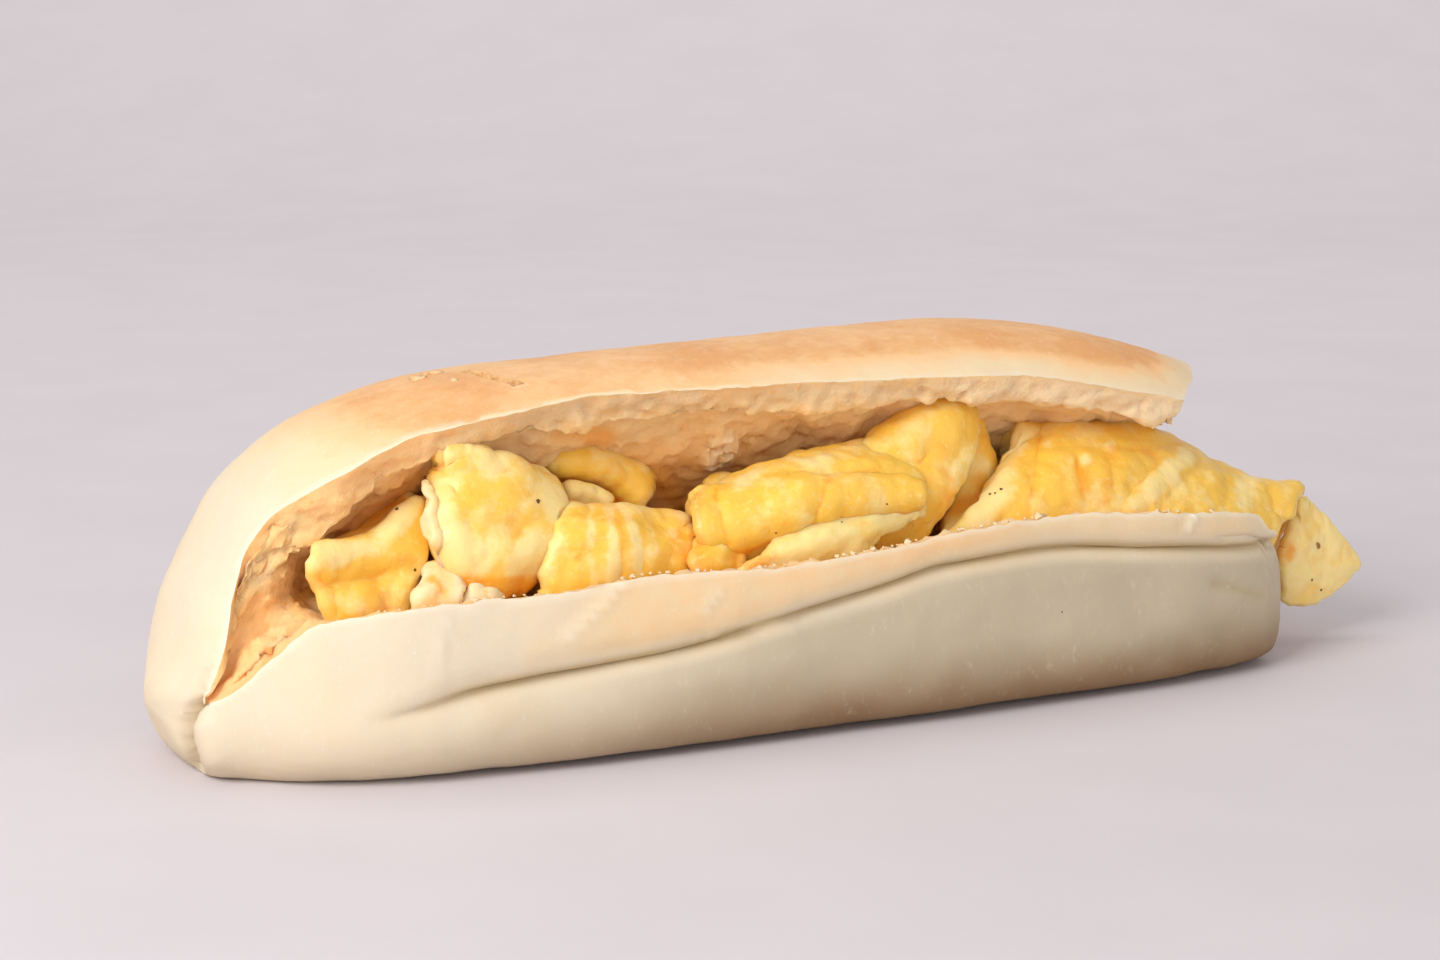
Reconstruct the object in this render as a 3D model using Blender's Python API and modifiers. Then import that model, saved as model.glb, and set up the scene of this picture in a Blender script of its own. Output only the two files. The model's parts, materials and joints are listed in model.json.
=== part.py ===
"""Breakfast roll: a soft long roll split along its front and filled with folded egg.

The roll is one solid. Each folded, curled or torn piece of egg is a solid of its own.
Sizes are in millimetres: X runs along the roll, -Y is the open front, Z is up.
"""

import math

import bmesh
import bpy
import numpy as np
from mathutils import Matrix, Vector, noise

MM = 0.001
FIT_GAP = 0.35              # space kept between two pieces that touch

# Outline of the roll, as (x, value) points along its length.
LEFT_TIP = -93.5
RIGHT_TIP = 98.5
TOP_LINE = ((-93.5, 15), (-92.5, 17.7), (-90, 22.6), (-88.5, 26.5), (-85.5, 31.5), (-83, 36),
            (-80.5, 40.3), (-75, 45.6), (-66, 50.4), (-47, 55),
            (-20, 56.3), (10, 57.4), (36, 58), (56, 56.6), (76, 53.4), (85, 51.6), (93, 50),
            (98.5, 51))
FLOOR_LINE = ((-93.5, 6), (-91, 1.5), (-87, -1), (-78, -2.2), (-40, -2), (84, -1.5), (92, 0.2), (98.5, 4.5))
FRONT_LINE = ((-93.5, -7), (-90, -13), (-84, -18), (-75, -25), (-60, -29.5), (-30, -31),
              (20, -31.5), (60, -30.5), (80, -28), (91, -24), (98.5, -17))
BACK_LINE = ((-93.5, 10), (-90, 15.5), (-84, 21), (-75, 27), (-55, 32), (0, 33.5),
             (60, 32.5), (80, 28), (91, 22), (98.5, 14))
WAIST_LINE = ((-93.5, 10), (-80, 15), (-60, 18), (0, 20), (80, 20), (98.5, 16))
TIP_ROUNDING = 7.0
TOP_FULLNESS = 2.4          # superellipse exponent of the domed top
BASE_FULLNESS = 3.4         # and of the squarer base

# The split: the height of its lower and upper edge, and its inner end, the hinge.
MOUTH_LEFT = -88.8
MOUTH_RIGHT = 108.0
LIP_LINE = ((-88.8, 12.2), (-86, 14.5), (-82, 19), (-75, 25), (-60, 26.7), (-40, 27.2),
            (-27, 28.3), (-9, 27.6), (11, 28.6), (27, 30.3), (44, 30.9), (63, 29.5),
            (85, 27.2), (108, 25))
UPPER_LINE = ((-88.8, 13.6), (-86, 20.5), (-84.4, 26.4), (-80.2, 36), (-76.9, 39.8),
              (-65, 46.3), (-58, 49), (-48, 50.8), (-26, 52.8), (4, 52.8), (41, 51.9),
              (60, 48.6), (77, 45.9), (91, 44.6), (108, 43))
HINGE_Y_LINE = ((-88.8, -8), (-80, 4), (-62, 15), (-30, 20), (70, 20), (88, 23), (108, 34))
HINGE_Z_LINE = ((-88.8, 12.9), (-80, 24), (-62, 28.5), (-30, 28), (70, 26.5), (108, 27))
DISH_LINE = ((-88.8, 12.1), (-80, 18), (-66, 19), (-30, 19.5), (40, 21), (80, 20.5), (108, 20))
LIP_THICKNESS = 5.0
CUT_REACH = 50.0            # how far in front of the roll the cutter starts

# The fold that runs along the front, under the lip.
FOLD_LINE = ((-72, 10.5), (-66, 11.2), (-54, 13.9), (-36, 15.7), (-19, 17.2), (-2.5, 20.2),
             (9.5, 22.4), (24, 25.2), (42, 25.9), (62, 24.2), (90, 21.2), (98.5, 21))
FOLD_DEPTH = 3.4
FOLD_WIDTH = 1.7
FOLD_FADE = (-72.0, -56.0)

# The crease round the left end, where the upper half folds down behind the lower one:
# its blind edge and its two open edges, each as a low and a high (x, y, z) point.
CREASE_EDGE = ((-87.4, -4.6, -2), (-88.6, -7.0, 15))
CREASE_FRONT = ((-99, -3.4, -2), (-99, -6.6, 15))
CREASE_BACK = ((-99, 3.2, -2), (-99, -5.0, 15))

# The upper half ends short of the lower one at the right.
UPPER_SET_BACK = 9.5

# Crust torn open across the top: the groove's middle line and the flakes that stand by it.
TEAR_LINE = ((-46, 15, 56), (-44.5, 2, 57.5), (-41.5, -6, 55.5), (-37.5, -12.5, 50.5))
TEAR_WIDTH = 3.2
TEAR_DEPTH = 1.6
FLAKES = (((-52, 1, 54.2), (-48.5, 3.5, 57.4), (-45.5, 8, 54.6)),
          ((-49.5, -2, 54.0), (-46, 0, 57.9), (-42.5, 3, 54.6)))
FLAKE_WIDTH = 4.0
FLAKE_THICKNESS = 1.1

CRUMB_RELIEF = 1.1
CRUMB_SCALE = 6.0


def line_at(line, x):
    """Value at x on a smooth line through (x, value) points, without overshoot."""
    xs, ys = np.array(line, float).T
    step = np.diff(xs)
    slope = np.diff(ys) / step
    same_sign = slope[:-1] * slope[1:] > 0
    mean = 2 * slope[:-1] * slope[1:] / np.where(same_sign, slope[:-1] + slope[1:], 1)
    tangent = np.concatenate([slope[:1], np.where(same_sign, mean, 0), slope[-1:]])
    i = int(np.clip(np.searchsorted(xs, x) - 1, 0, len(xs) - 2))
    t = min(max((x - xs[i]) / step[i], 0.0), 1.0)
    rise = ys[i] * (1 + 2 * t) + step[i] * tangent[i] * t
    fall = ys[i + 1] * (3 - 2 * t) - step[i] * tangent[i + 1] * (1 - t)
    return float(rise * (1 - t) ** 2 + fall * t * t)


def ease(low, high, value):
    """Smooth step from 0 at low to 1 at high."""
    t = min(max((value - low) / (high - low), 0.0), 1.0)
    return t * t * (3 - 2 * t)


def tip_scale(x):
    """Share of the full section that is left at x, 0 at the two tips."""
    near = min(x - LEFT_TIP, RIGHT_TIP - x)
    t = min(max(1 - near / TIP_ROUNDING, 0.0), 1.0)
    return (1 - t ** 2.2) ** (1 / 2.2)


def superellipse(angle, fullness):
    """Unit superellipse at an angle, as (cosine, sine) with their signs kept."""
    c, s = math.cos(angle), math.sin(angle)
    power = 2 / fullness
    return math.copysign(abs(c) ** power, c), math.copysign(abs(s) ** power, s)


def section_frame(x):
    """Middle and reach of the roll's section at x: y, z, front, back, up and down."""
    scale = tip_scale(x)
    front, back = line_at(FRONT_LINE, x), line_at(BACK_LINE, x)
    middle, waist = (front + back) / 2, line_at(WAIST_LINE, x)
    up = line_at(TOP_LINE, x) - waist
    down = waist - line_at(FLOOR_LINE, x)
    half = (back - front) / 2
    return middle, waist, half * scale, up * scale, down * scale


def front_angle(x, z):
    """Angle at which the front of the section at x is z high."""
    _, waist, _, up, down = section_frame(x)
    reach, fullness = (up, TOP_FULLNESS) if z > waist else (down, BASE_FULLNESS)
    share = min(max((z - waist) / max(reach, 0.01), -1.0), 1.0)
    return math.pi - math.asin(math.copysign(abs(share) ** (fullness / 2), share))


def skin_point(x, angle):
    """Point of the roll's crust at x, with its folds."""
    middle, waist, half, up, down = section_frame(x)
    fullness = TOP_FULLNESS if math.sin(angle) > 0 else BASE_FULLNESS
    c, s = superellipse(angle, fullness)
    y = middle + half * c
    z = waist + (up if s > 0 else down) * s
    front = ease(0.0, 0.35, -c)
    off_fold = (z - line_at(FOLD_LINE, x)) / FOLD_WIDTH
    fold = FOLD_DEPTH * math.exp(-off_fold ** 2) * ease(*FOLD_FADE, x) * front
    y += fold * tip_scale(x)
    set_back = UPPER_SET_BACK * ease(27, 35, z) * ease(58, RIGHT_TIP, x)
    return Vector((x - set_back, y, max(z, 0.0)))


def front_y(x, z):
    """Y of the front crust where it is z high."""
    return skin_point(x, front_angle(x, z)).y


def mouth_section(x):
    """Closed outline of the split at x, as (y, z) points: lower face, hinge, upper face."""
    lip, upper = line_at(LIP_LINE, x), line_at(UPPER_LINE, x)
    inside = min(max(x, LEFT_TIP + 1), RIGHT_TIP - 1)
    lip_y, upper_y = front_y(inside, lip), front_y(inside, upper)
    hinge_y, hinge_z = line_at(HINGE_Y_LINE, x), line_at(HINGE_Z_LINE, x)
    dish = line_at(DISH_LINE, x)
    gape = max(ease(MOUTH_LEFT, MOUTH_LEFT + 9, x), 0.03)
    run = hinge_y - lip_y
    wall = LIP_THICKNESS * gape
    lower = [(-CUT_REACH, lip + 1.5 * gape), (lip_y, lip), (lip_y + 0.6 * wall, lip - 0.6 * gape)]
    lower += [(lip_y + wall + 0.06 * run, lip + (dish - lip) * 0.6)]
    lower += [(lip_y + 0.36 * run, dish), (lip_y + 0.66 * run, dish + 1.5 * gape)]
    lower += [(lip_y + 0.9 * run, dish + (hinge_z - dish) * 0.55)]
    rise = upper - hinge_z
    deep = hinge_y - upper_y
    arch = 3.2 * gape
    roof = [(upper_y + deep * t, upper - rise * t + arch * math.sin(math.pi * t) ** 0.8)
            for t in (0.86, 0.7, 0.55, 0.4, 0.26, 0.12)]
    edge = [(upper_y, upper), (-CUT_REACH, upper + 9 * gape)]
    return lower + [(hinge_y, hinge_z)] + roof + edge


def stations(start, end, spacing, tight=0.0):
    """X values from start to end, closer together within 12 mm of both ends if tight."""
    values, x = [start], start
    while x < end - spacing * 0.4:
        near = min(x - start, end - x)
        x += spacing * (1 - tight * (1 - ease(0, 14, near)))
        values.append(min(x, end))
    values[-1] = end
    return values


def crust_angles(x):
    """Angles of one ring of crust: even round the back, closer along lip and fold."""
    fold, lip = line_at(FOLD_LINE, x), line_at(LIP_LINE, max(x, MOUTH_LEFT))
    back = [math.radians(d) for d in (-62, -45, -28, -10, 8, 26, 44, 60, 75, 90, 105, 118, 131)]
    heights = [fold + d * FOLD_WIDTH for d in (1.5, 0.7, 0.0, -0.7, -1.5)]
    heights = [max(lip + 1.5, heights[0] + 1.2)] + heights + [heights[-1] * 0.62, heights[-1] * 0.3]
    near = min(x - LEFT_TIP, RIGHT_TIP - x)
    even = [math.radians(141 + 11.5 * i) for i in range(len(heights))]
    share = ease(1.5, 9, near)
    front = [e + (front_angle(x, z) - e) * share for e, z in zip(even, heights)]
    base = [math.radians(d) for d in (236, 252, 270, 284)]
    return back + front + base


def add_object(name, mesh, colour, roughness, collection):
    """Object of this mesh with its own plain material, in a collection."""
    material = bpy.data.materials.new(name + "_finish")
    material.use_nodes = True
    shader = material.node_tree.nodes["Principled BSDF"]
    shader.inputs["Base Color"].default_value = (*colour, 1)
    shader.inputs["Roughness"].default_value = roughness
    shader.inputs["Metallic"].default_value = 0.0
    mesh.materials.append(material)
    mesh.shade_smooth()
    obj = bpy.data.objects.new(name, mesh)
    collection.objects.link(obj)
    return obj


def loft_mesh(name, rings, pole_start=None, pole_end=None):
    """Closed mesh through rings of points, each end closed by a pole or a flat cap."""
    bm = bmesh.new()
    rows = [[bm.verts.new(Vector(p) * MM) for p in ring] for ring in rings]
    count = len(rows[0])
    for near, far in zip(rows, rows[1:]):
        for i in range(count):
            j = (i + 1) % count
            bm.faces.new((near[i], near[j], far[j], far[i]))
    for row, pole, flip in ((rows[0], pole_start, True), (rows[-1], pole_end, False)):
        if pole is None:
            bm.faces.new(reversed(row) if flip else row)
            continue
        tip = bm.verts.new(Vector(pole) * MM)
        for i in range(count):
            a, b = row[i], row[(i + 1) % count]
            bm.faces.new((b, a, tip) if flip else (a, b, tip))
    bmesh.ops.remove_doubles(bm, verts=bm.verts, dist=0.02 * MM)
    bmesh.ops.recalc_face_normals(bm, faces=bm.faces)
    mesh = bpy.data.meshes.new(name)
    bm.to_mesh(mesh)
    bm.free()
    return mesh


def roll_body_mesh():
    """The whole roll before it is split."""
    xs = stations(LEFT_TIP, RIGHT_TIP, 3.9, 0.72)[1:-1]
    rings = [[skin_point(x, a) for a in crust_angles(x)] for x in xs]
    tips = []
    for x in (LEFT_TIP, RIGHT_TIP):
        middle, waist = section_frame(x)[:2]
        tips.append((x, middle, waist))
    return loft_mesh("bread_roll", rings, *tips)


def mouth_mesh():
    """The space that splits the roll: open at the front and the right end."""
    xs = stations(MOUTH_LEFT, MOUTH_RIGHT, 4.3, 0.6)
    rings = []
    for x in xs:
        ring = []
        for y, z in mouth_section(x):
            inside = ease(-CUT_REACH + 8, -24, y) * ease(MOUTH_LEFT, MOUTH_LEFT + 8, x)
            bump = noise.noise(Vector((x, y, z)) / CRUMB_SCALE) * CRUMB_RELIEF * inside
            ring.append((x, y + bump * 0.5, z + bump))
        rings.append(ring)
    return loft_mesh("mouth", rings)


def crease_mesh():
    """The wedge that parts the two halves round the left end."""
    rings = [(edge, front, back) for edge, front, back in
             zip(CREASE_EDGE, CREASE_FRONT, CREASE_BACK)]
    return loft_mesh("crease", rings)


def tear_mesh():
    """A tapered three-sided bar that opens the crust."""
    rings = []
    for i, (x, y, z) in enumerate(TEAR_LINE):
        width = TEAR_WIDTH * (0.35 if i in (0, len(TEAR_LINE) - 1) else 1.0) / 2
        rings.append(((x, y, z - TEAR_DEPTH), (x + width, y, z + 2), (x - width, y, z + 2)))
    return loft_mesh("tear", rings)


def flake_mesh(points):
    """A thin curled leaf of crust over three points."""
    rings = []
    for i, point in enumerate(points):
        half = FLAKE_WIDTH / 2 * (1.0 if i == 1 else 0.7)
        x, y, z = point
        rings.append(((x - half * 0.5, y + half, z), (x + half * 0.5, y - half, z),
                      (x + half * 0.5, y - half, z - FLAKE_THICKNESS),
                      (x - half * 0.5, y + half, z - FLAKE_THICKNESS)))
    return loft_mesh("flake", rings)


def apply_modifiers(obj):
    """Replaces the object's mesh by its evaluated one."""
    graph = bpy.context.evaluated_depsgraph_get()
    mesh = bpy.data.meshes.new_from_object(obj.evaluated_get(graph))
    obj.modifiers.clear()
    obj.data = mesh


def cut_away(obj, cutter, operation="DIFFERENCE"):
    """Boolean with a cutter, applied. The cutter stays."""
    cut = obj.modifiers.new("cut", "BOOLEAN")
    cut.operation = operation
    cut.solver = "EXACT"
    cut.object = cutter
    apply_modifiers(obj)


def make_roll(collection, cutters):
    """The split roll as one solid."""
    roll = add_object("bread_roll", roll_body_mesh(), (0.86, 0.70, 0.47), 0.7, collection)
    grey = (0.5, 0.5, 0.5)
    tools = [add_object("mouth_cutter", mouth_mesh(), grey, 0.7, cutters),
             add_object("crease_cutter", crease_mesh(), grey, 0.7, cutters),
             add_object("tear_cutter", tear_mesh(), grey, 0.7, cutters)]
    for i, points in enumerate(FLAKES):
        tools.append(add_object(f"flake_{i + 1}", flake_mesh(points), grey, 0.7, cutters))
    for tool in tools:
        tool.hide_render = True
        tool.display_type = "WIRE"
        cut_away(roll, tool, "UNION" if tool.name.startswith("flake") else "DIFFERENCE")
    return roll


# Each piece of egg hangs on rails: lines through a few points, from its front hem over
# its crest to its back hem.
EGG_PIECES = {
    "egg_roll_long": dict(
        rails=(((-11, -17, 30), (2, -19, 31.5), (13, -19.5, 33), (23, -17, 33.5)),
               ((-12.5, -19.5, 31.8), (-1, -22.5, 33), (11, -22.2, 34.3), (23, -20, 34.2)),
               ((-13, -18, 34), (0, -20.5, 36), (12, -19.5, 37.5), (23.5, -18, 35.6)),
               ((-12, -13.5, 34.8), (2, -14, 37), (13, -13, 39.3), (24, -13.5, 37.5)),
               ((-10, -8, 30), (2, -7, 33), (13, -6.5, 36), (24, -7, 35)),
               ((-9, -6, 20), (3, -5.5, 20), (14, -5, 20), (24, -5, 20))),
        thickness=3.6, cells=(7, 6), ripple=0.35, seed=5),
    "egg_lobe_tall": dict(
        rails=(((23, -18.5, 24), (28, -19, 26), (33, -15.5, 28)),
               ((23, -17.5, 31), (30, -17.5, 33), (35.5, -14, 34.5)),
               ((20, -14, 38), (29, -14.5, 41), (38, -11, 39.5)),
               ((16, -8, 38.5), (28, -9.5, 43.8), (35, -8, 44.2), (40, -5.5, 39.5)),
               ((18, -2, 33), (29, -2.5, 38.5), (39, -2, 35.5)),
               ((20, -1, 21), (30, 0, 21), (38, 0.5, 21))),
        thickness=3.8, cells=(7, 5), ripple=0.4, seed=6),
    "egg_lobe_behind": dict(
        rails=(((34, -13.5, 23), (39, -12.5, 24), (42, -10, 26)),
               ((38, -12, 33), (41.5, -10.5, 33.5), (44, -7.5, 33)),
               ((39, -6, 38.8), (42, -5, 38.6), (44.2, -3.8, 36.8)),
               ((38, 2, 28), (41, 2, 28), (44, 1, 28))),
        thickness=2.8, cells=(5, 3), ripple=0.2, seed=7),
    "egg_sheet_right": dict(
        rails=(((29, -21, 21), (50, -20.5, 21), (74, -20, 20), (98.5, -15, 19)),
               ((38, -16, 29.5), (55, -16, 32.5), (74, -14.5, 31), (89, -13.5, 26),
                (102, -12.5, 23.4)),
               ((49, -6, 38), (61, -5, 38.6), (74, -5, 36.3), (84, -6, 32), (93, -6.5, 27.4),
                (106, -8.5, 25)),
               ((52, 3, 37), (62, 4, 37.6), (76, 5, 34.4), (89, 4, 27), (102, 2, 23)),
               ((54, 9, 22), (62, 10, 22), (77, 11, 22), (96, 8, 21))),
        thickness=3.6, cells=(7, 8), ripple=0.55, seed=11),
    "egg_fold_peak": dict(
        rails=(((-53, -17.5, 28.6), (-46.5, -19, 27.6), (-39.5, -17.5, 28.6)),
               ((-56, -18, 34), (-46, -21, 35), (-35.4, -17, 34)),
               ((-54.8, -13.5, 40), (-44, -16, 41), (-33.6, -11.5, 37.2)),
               ((-51.5, -8.5, 45.4), (-47, -9, 45), (-41, -8.5, 42.4), (-33.6, -7, 39)),
               ((-47, -2, 38), (-41, -1.5, 37), (-35.5, -2, 34)),
               ((-44, 3, 24), (-39, 3, 23), (-34, 3, 23))),
        thickness=4.0, cells=(7, 5), ripple=0.4, seed=3),
    "egg_fold_left": dict(
        rails=(((-71.5, -16, 20), (-66, -17.5, 20), (-59.5, -16.5, 20)),
               ((-74.5, -16.5, 29), (-66, -16.5, 29), (-58, -14.5, 31)),
               ((-76, -14.5, 32.4), (-68, -14, 32.2), (-61, -13, 33.5), (-56.5, -11, 39)),
               ((-69.5, -8, 31.5), (-63, -7, 33), (-55.5, -6, 37)),
               ((-69, -5, 18), (-62, -4, 18), (-56, -3, 19))),
        thickness=3.4, cells=(6, 5), ripple=0.25, seed=8),
    "egg_curl_back": dict(
        rails=(((-30, -2.5, 36.5), (-21, -1.5, 36), (-13.5, -2.5, 32.5)),
               ((-30, 0.5, 39.6), (-21, 1.5, 40), (-11.8, 0, 34.6)),
               ((-28, 4.5, 38), (-20.5, 6, 38.2), (-11, 5, 33)),
               ((-26, 7, 26), (-20, 8.5, 26), (-13, 8, 25))),
        thickness=2.8, cells=(4, 5), ripple=0.2, seed=21),
    "egg_scramble_middle": dict(
        rails=(((-39.5, -20, 23), (-32, -21, 23), (-24, -21.5, 24), (-16, -20, 24)),
               ((-36.5, -19, 31.5), (-30, -20, 32.6), (-23, -19.5, 32.2), (-15.5, -18, 30)),
               ((-33.5, -13.5, 32.5), (-28, -14, 33.2), (-21, -13.5, 32.4), (-13.5, -12, 29.8)),
               ((-30, -8, 23), (-21, -8, 22), (-14, -7.5, 22))),
        thickness=4.0, cells=(5, 6), ripple=0.7, seed=17),
    "egg_strip_middle": dict(
        rails=(((-29.5, -7.5, 34), (-22, -6.5, 33.5), (-15, -6, 30.5)),
               ((-28, -3, 32), (-21, -2, 31.5), (-14, -2, 28.5)),
               ((-26, 1, 22), (-20, 1.5, 22), (-15, 1.5, 22))),
        thickness=2.2, cells=(3, 3), ripple=0.3, seed=33),
    "egg_flap_low": dict(
        rails=(((-10, -24, 25), (3, -25, 26), (12, -24.8, 27)),
               ((-9, -23.6, 27.8), (7, -25, 30), (20.5, -25, 32.2)),
               ((-4, -17, 27), (8, -16.5, 28), (19, -16, 29)),
               ((-3, -13, 20), (8, -12.5, 20), (18, -12, 20))),
        thickness=2.2, cells=(4, 5), ripple=0.3, seed=29),
    "egg_bit_low": dict(
        rails=(((-16, -23, 22), (-12, -23.5, 22.5), (-8.5, -23, 22)),
               ((-15.5, -20.5, 28.6), (-12, -21, 29), (-8, -20.5, 27)),
               ((-15, -16, 21), (-11.5, -16, 21), (-8, -16, 21))),
        thickness=2.6, cells=(3, 3), ripple=0.25, seed=41),
    "egg_sliver_back": dict(
        rails=(((-8, -5, 27), (-2, -5, 28), (4, -5, 28)),
               ((-8, -3, 34.6), (-2, -2, 34.8), (4, -2, 35)),
               ((-7, 3, 24), (-1, 3, 24), (4, 3, 24))),
        thickness=2.0, cells=(3, 3), ripple=0.1, seed=43),
    "egg_tail_flap": dict(
        rails=(((100.5, -12, 24), (100.4, -13.2, 17), (100.2, -12.8, 10.6)),
               ((104.5, -9, 25.5), (105.5, -11.5, 16), (105.2, -12.2, 6.3)),
               ((107, -8, 25.6), (111, -9.5, 17.5), (113.2, -10.2, 7)),
               ((108, -7.6, 25.5), (113.6, -8, 18.9), (119.6, -8.4, 12.4))),
        thickness=2.6, cells=(4, 4), ripple=0.3, seed=47),
    "pale_shred_left": dict(
        rails=(((-59.5, -21, 22), (-56, -21.8, 22), (-53, -21.5, 23)),
               ((-58.5, -18.5, 28.6), (-56, -19, 28), (-53, -19.5, 25.6)),
               ((-58, -14, 20), (-56, -14, 20), (-54, -14, 20))),
        thickness=2.2, cells=(2, 3), ripple=0.2, seed=51),
    "pale_shred_middle": dict(
        rails=(((-53, -20.5, 22), (-49.5, -21.5, 22), (-45.5, -20.5, 22)),
               ((-51, -19.5, 27.5), (-48.5, -19, 28.5), (-46.5, -19, 28)),
               ((-52, -14, 21), (-49, -13.5, 21), (-46, -13.5, 21))),
        thickness=2.0, cells=(2, 3), ripple=0.2, seed=52),
    "pale_shred_upright": dict(
        rails=(((-57, -11.5, 22), (-56.8, -10.5, 30), (-56.5, -9.5, 39.5)),
               ((-54.5, -8.5, 22), (-54, -7.5, 30), (-53.8, -7, 38.5))),
        thickness=1.4, cells=(2, 4), ripple=0.1, seed=53),
}
EGG_YELLOW = (0.93, 0.70, 0.22)
EGG_PALE = (0.95, 0.83, 0.62)


def along(points, t):
    """Point at share t of a smooth line through 3D points."""
    count = len(points) - 1
    u = min(max(t, 0.0), 1.0) * count
    i = min(int(u), count - 1)
    f = u - i
    p = [Vector(points[min(max(k, 0), count)]) for k in (i - 1, i, i + 1, i + 2)]
    if i == 0:
        p[0] = 2 * p[1] - p[2]
    if i == count - 1:
        p[3] = 2 * p[2] - p[1]
    half = (p[2] - p[0]) * f + (2 * p[0] - 5 * p[1] + 4 * p[2] - p[3]) * f * f
    half += (3 * p[1] - p[0] - 3 * p[2] + p[3]) * f ** 3
    return p[1] + half / 2


def make_egg(name, collection):
    """One piece of egg: an open sheet over its rails, thickened and rounded."""
    piece = EGG_PIECES[name]
    rows, columns = piece["cells"]
    bm = bmesh.new()
    bmesh.ops.create_grid(bm, x_segments=columns, y_segments=rows, size=0.5)
    for vert in bm.verts:
        across, down = vert.co.x + 0.5, vert.co.y + 0.5
        rail_points = [along(rail, across) for rail in piece["rails"]]
        point = along(rail_points, down)
        side = along(rail_points, down + 0.02) - along(rail_points, down - 0.02)
        run = along([along(r, across + 0.02) for r in piece["rails"]], down)
        run -= along([along(r, across - 0.02) for r in piece["rails"]], down)
        normal = run.cross(side).normalized()
        wave = noise.noise(point / 7.0 + Vector((piece["seed"], 0, 0))) * 2
        shifts = [Vector((9.0 * k, piece["seed"], 0)) for k in range(3)]
        ragged = Vector([noise.noise(point / 5.0 + shift) for shift in shifts])
        at_rim = max(abs(across - 0.5), abs(down - 0.5)) > 0.49
        vert.co = (point + normal * wave * piece["ripple"] + ragged * (0.9 if at_rim else 0.2)) * MM
    mesh = bpy.data.meshes.new(name)
    bm.to_mesh(mesh)
    bm.free()
    colour = EGG_PALE if name.startswith("pale") else EGG_YELLOW
    egg = add_object(name, mesh, colour, 0.45, collection)
    skin = egg.modifiers.new("thickness", "SOLIDIFY")
    skin.thickness = piece["thickness"] * MM
    skin.offset = 0.0
    soft = egg.modifiers.new("rounding", "SUBSURF")
    soft.levels = soft.render_levels = 1
    apply_modifiers(egg)
    return egg


def grown_copy(obj, cutters):
    """Copy of a piece that is larger by the fit gap, for cutting its neighbour."""
    copy = bpy.data.objects.new(obj.name + "_cutter", obj.data.copy())
    cutters.objects.link(copy)
    grow = copy.modifiers.new("gap", "DISPLACE")
    grow.strength = FIT_GAP * MM
    grow.mid_level = 0.0
    apply_modifiers(copy)
    copy.hide_render = True
    copy.display_type = "WIRE"
    return copy


def keep_largest_body(obj):
    """Drops the loose scraps that a cut leaves."""
    bm = bmesh.new()
    bm.from_mesh(obj.data)
    left, bodies = set(bm.verts), []
    while left:
        stack, body = [left.pop()], []
        while stack:
            vert = stack.pop()
            body.append(vert)
            for edge in vert.link_edges:
                other = edge.other_vert(vert)
                if other in left:
                    left.discard(other)
                    stack.append(other)
        bodies.append(body)
    bodies.sort(key=len)
    for body in bodies[:-1]:
        bmesh.ops.delete(bm, geom=body, context="VERTS")
    bmesh.ops.dissolve_degenerate(bm, dist=0.02 * MM, edges=bm.edges)
    bm.to_mesh(obj.data)
    bm.free()


def set_origin(objects):
    """Moves all to the origin at the middle of the underside."""
    corners = np.array([v.co for o in objects for v in o.data.vertices])
    low, high = corners.min(0), corners.max(0)
    shift = Matrix.Translation((-(low[0] + high[0]) / 2, -(low[1] + high[1]) / 2, -low[2]))
    for obj in objects:
        obj.data.transform(shift)


def main():
    """Builds the filled roll."""
    for obj in list(bpy.data.objects):
        bpy.data.objects.remove(obj)
    scene = bpy.context.scene.collection
    sandwich = bpy.data.collections.new("breakfast_sandwich")
    cutters = bpy.data.collections.new("cutters")
    scene.children.link(sandwich)
    scene.children.link(cutters)
    placed = [make_roll(sandwich, cutters)]
    for name in EGG_PIECES:
        egg = make_egg(name, sandwich)
        for other in placed:
            cut_away(egg, grown_copy(other, cutters))
        keep_largest_body(egg)
        placed.append(egg)
    set_origin(placed)


main()
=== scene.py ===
"""Looks of a soft long roll, split along its front and filled with folded egg.

Sizes are in millimetres in the roll's own frame: X runs along the roll, -Y is the open front
and Z is up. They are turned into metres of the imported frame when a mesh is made.
"""

import json
import logging
import math
from bisect import bisect_right
from dataclasses import dataclass
from enum import Enum
from typing import Callable, Sequence

import bmesh
import bpy
import numpy as np
from mathutils import Euler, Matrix, Vector, kdtree, noise

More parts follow.
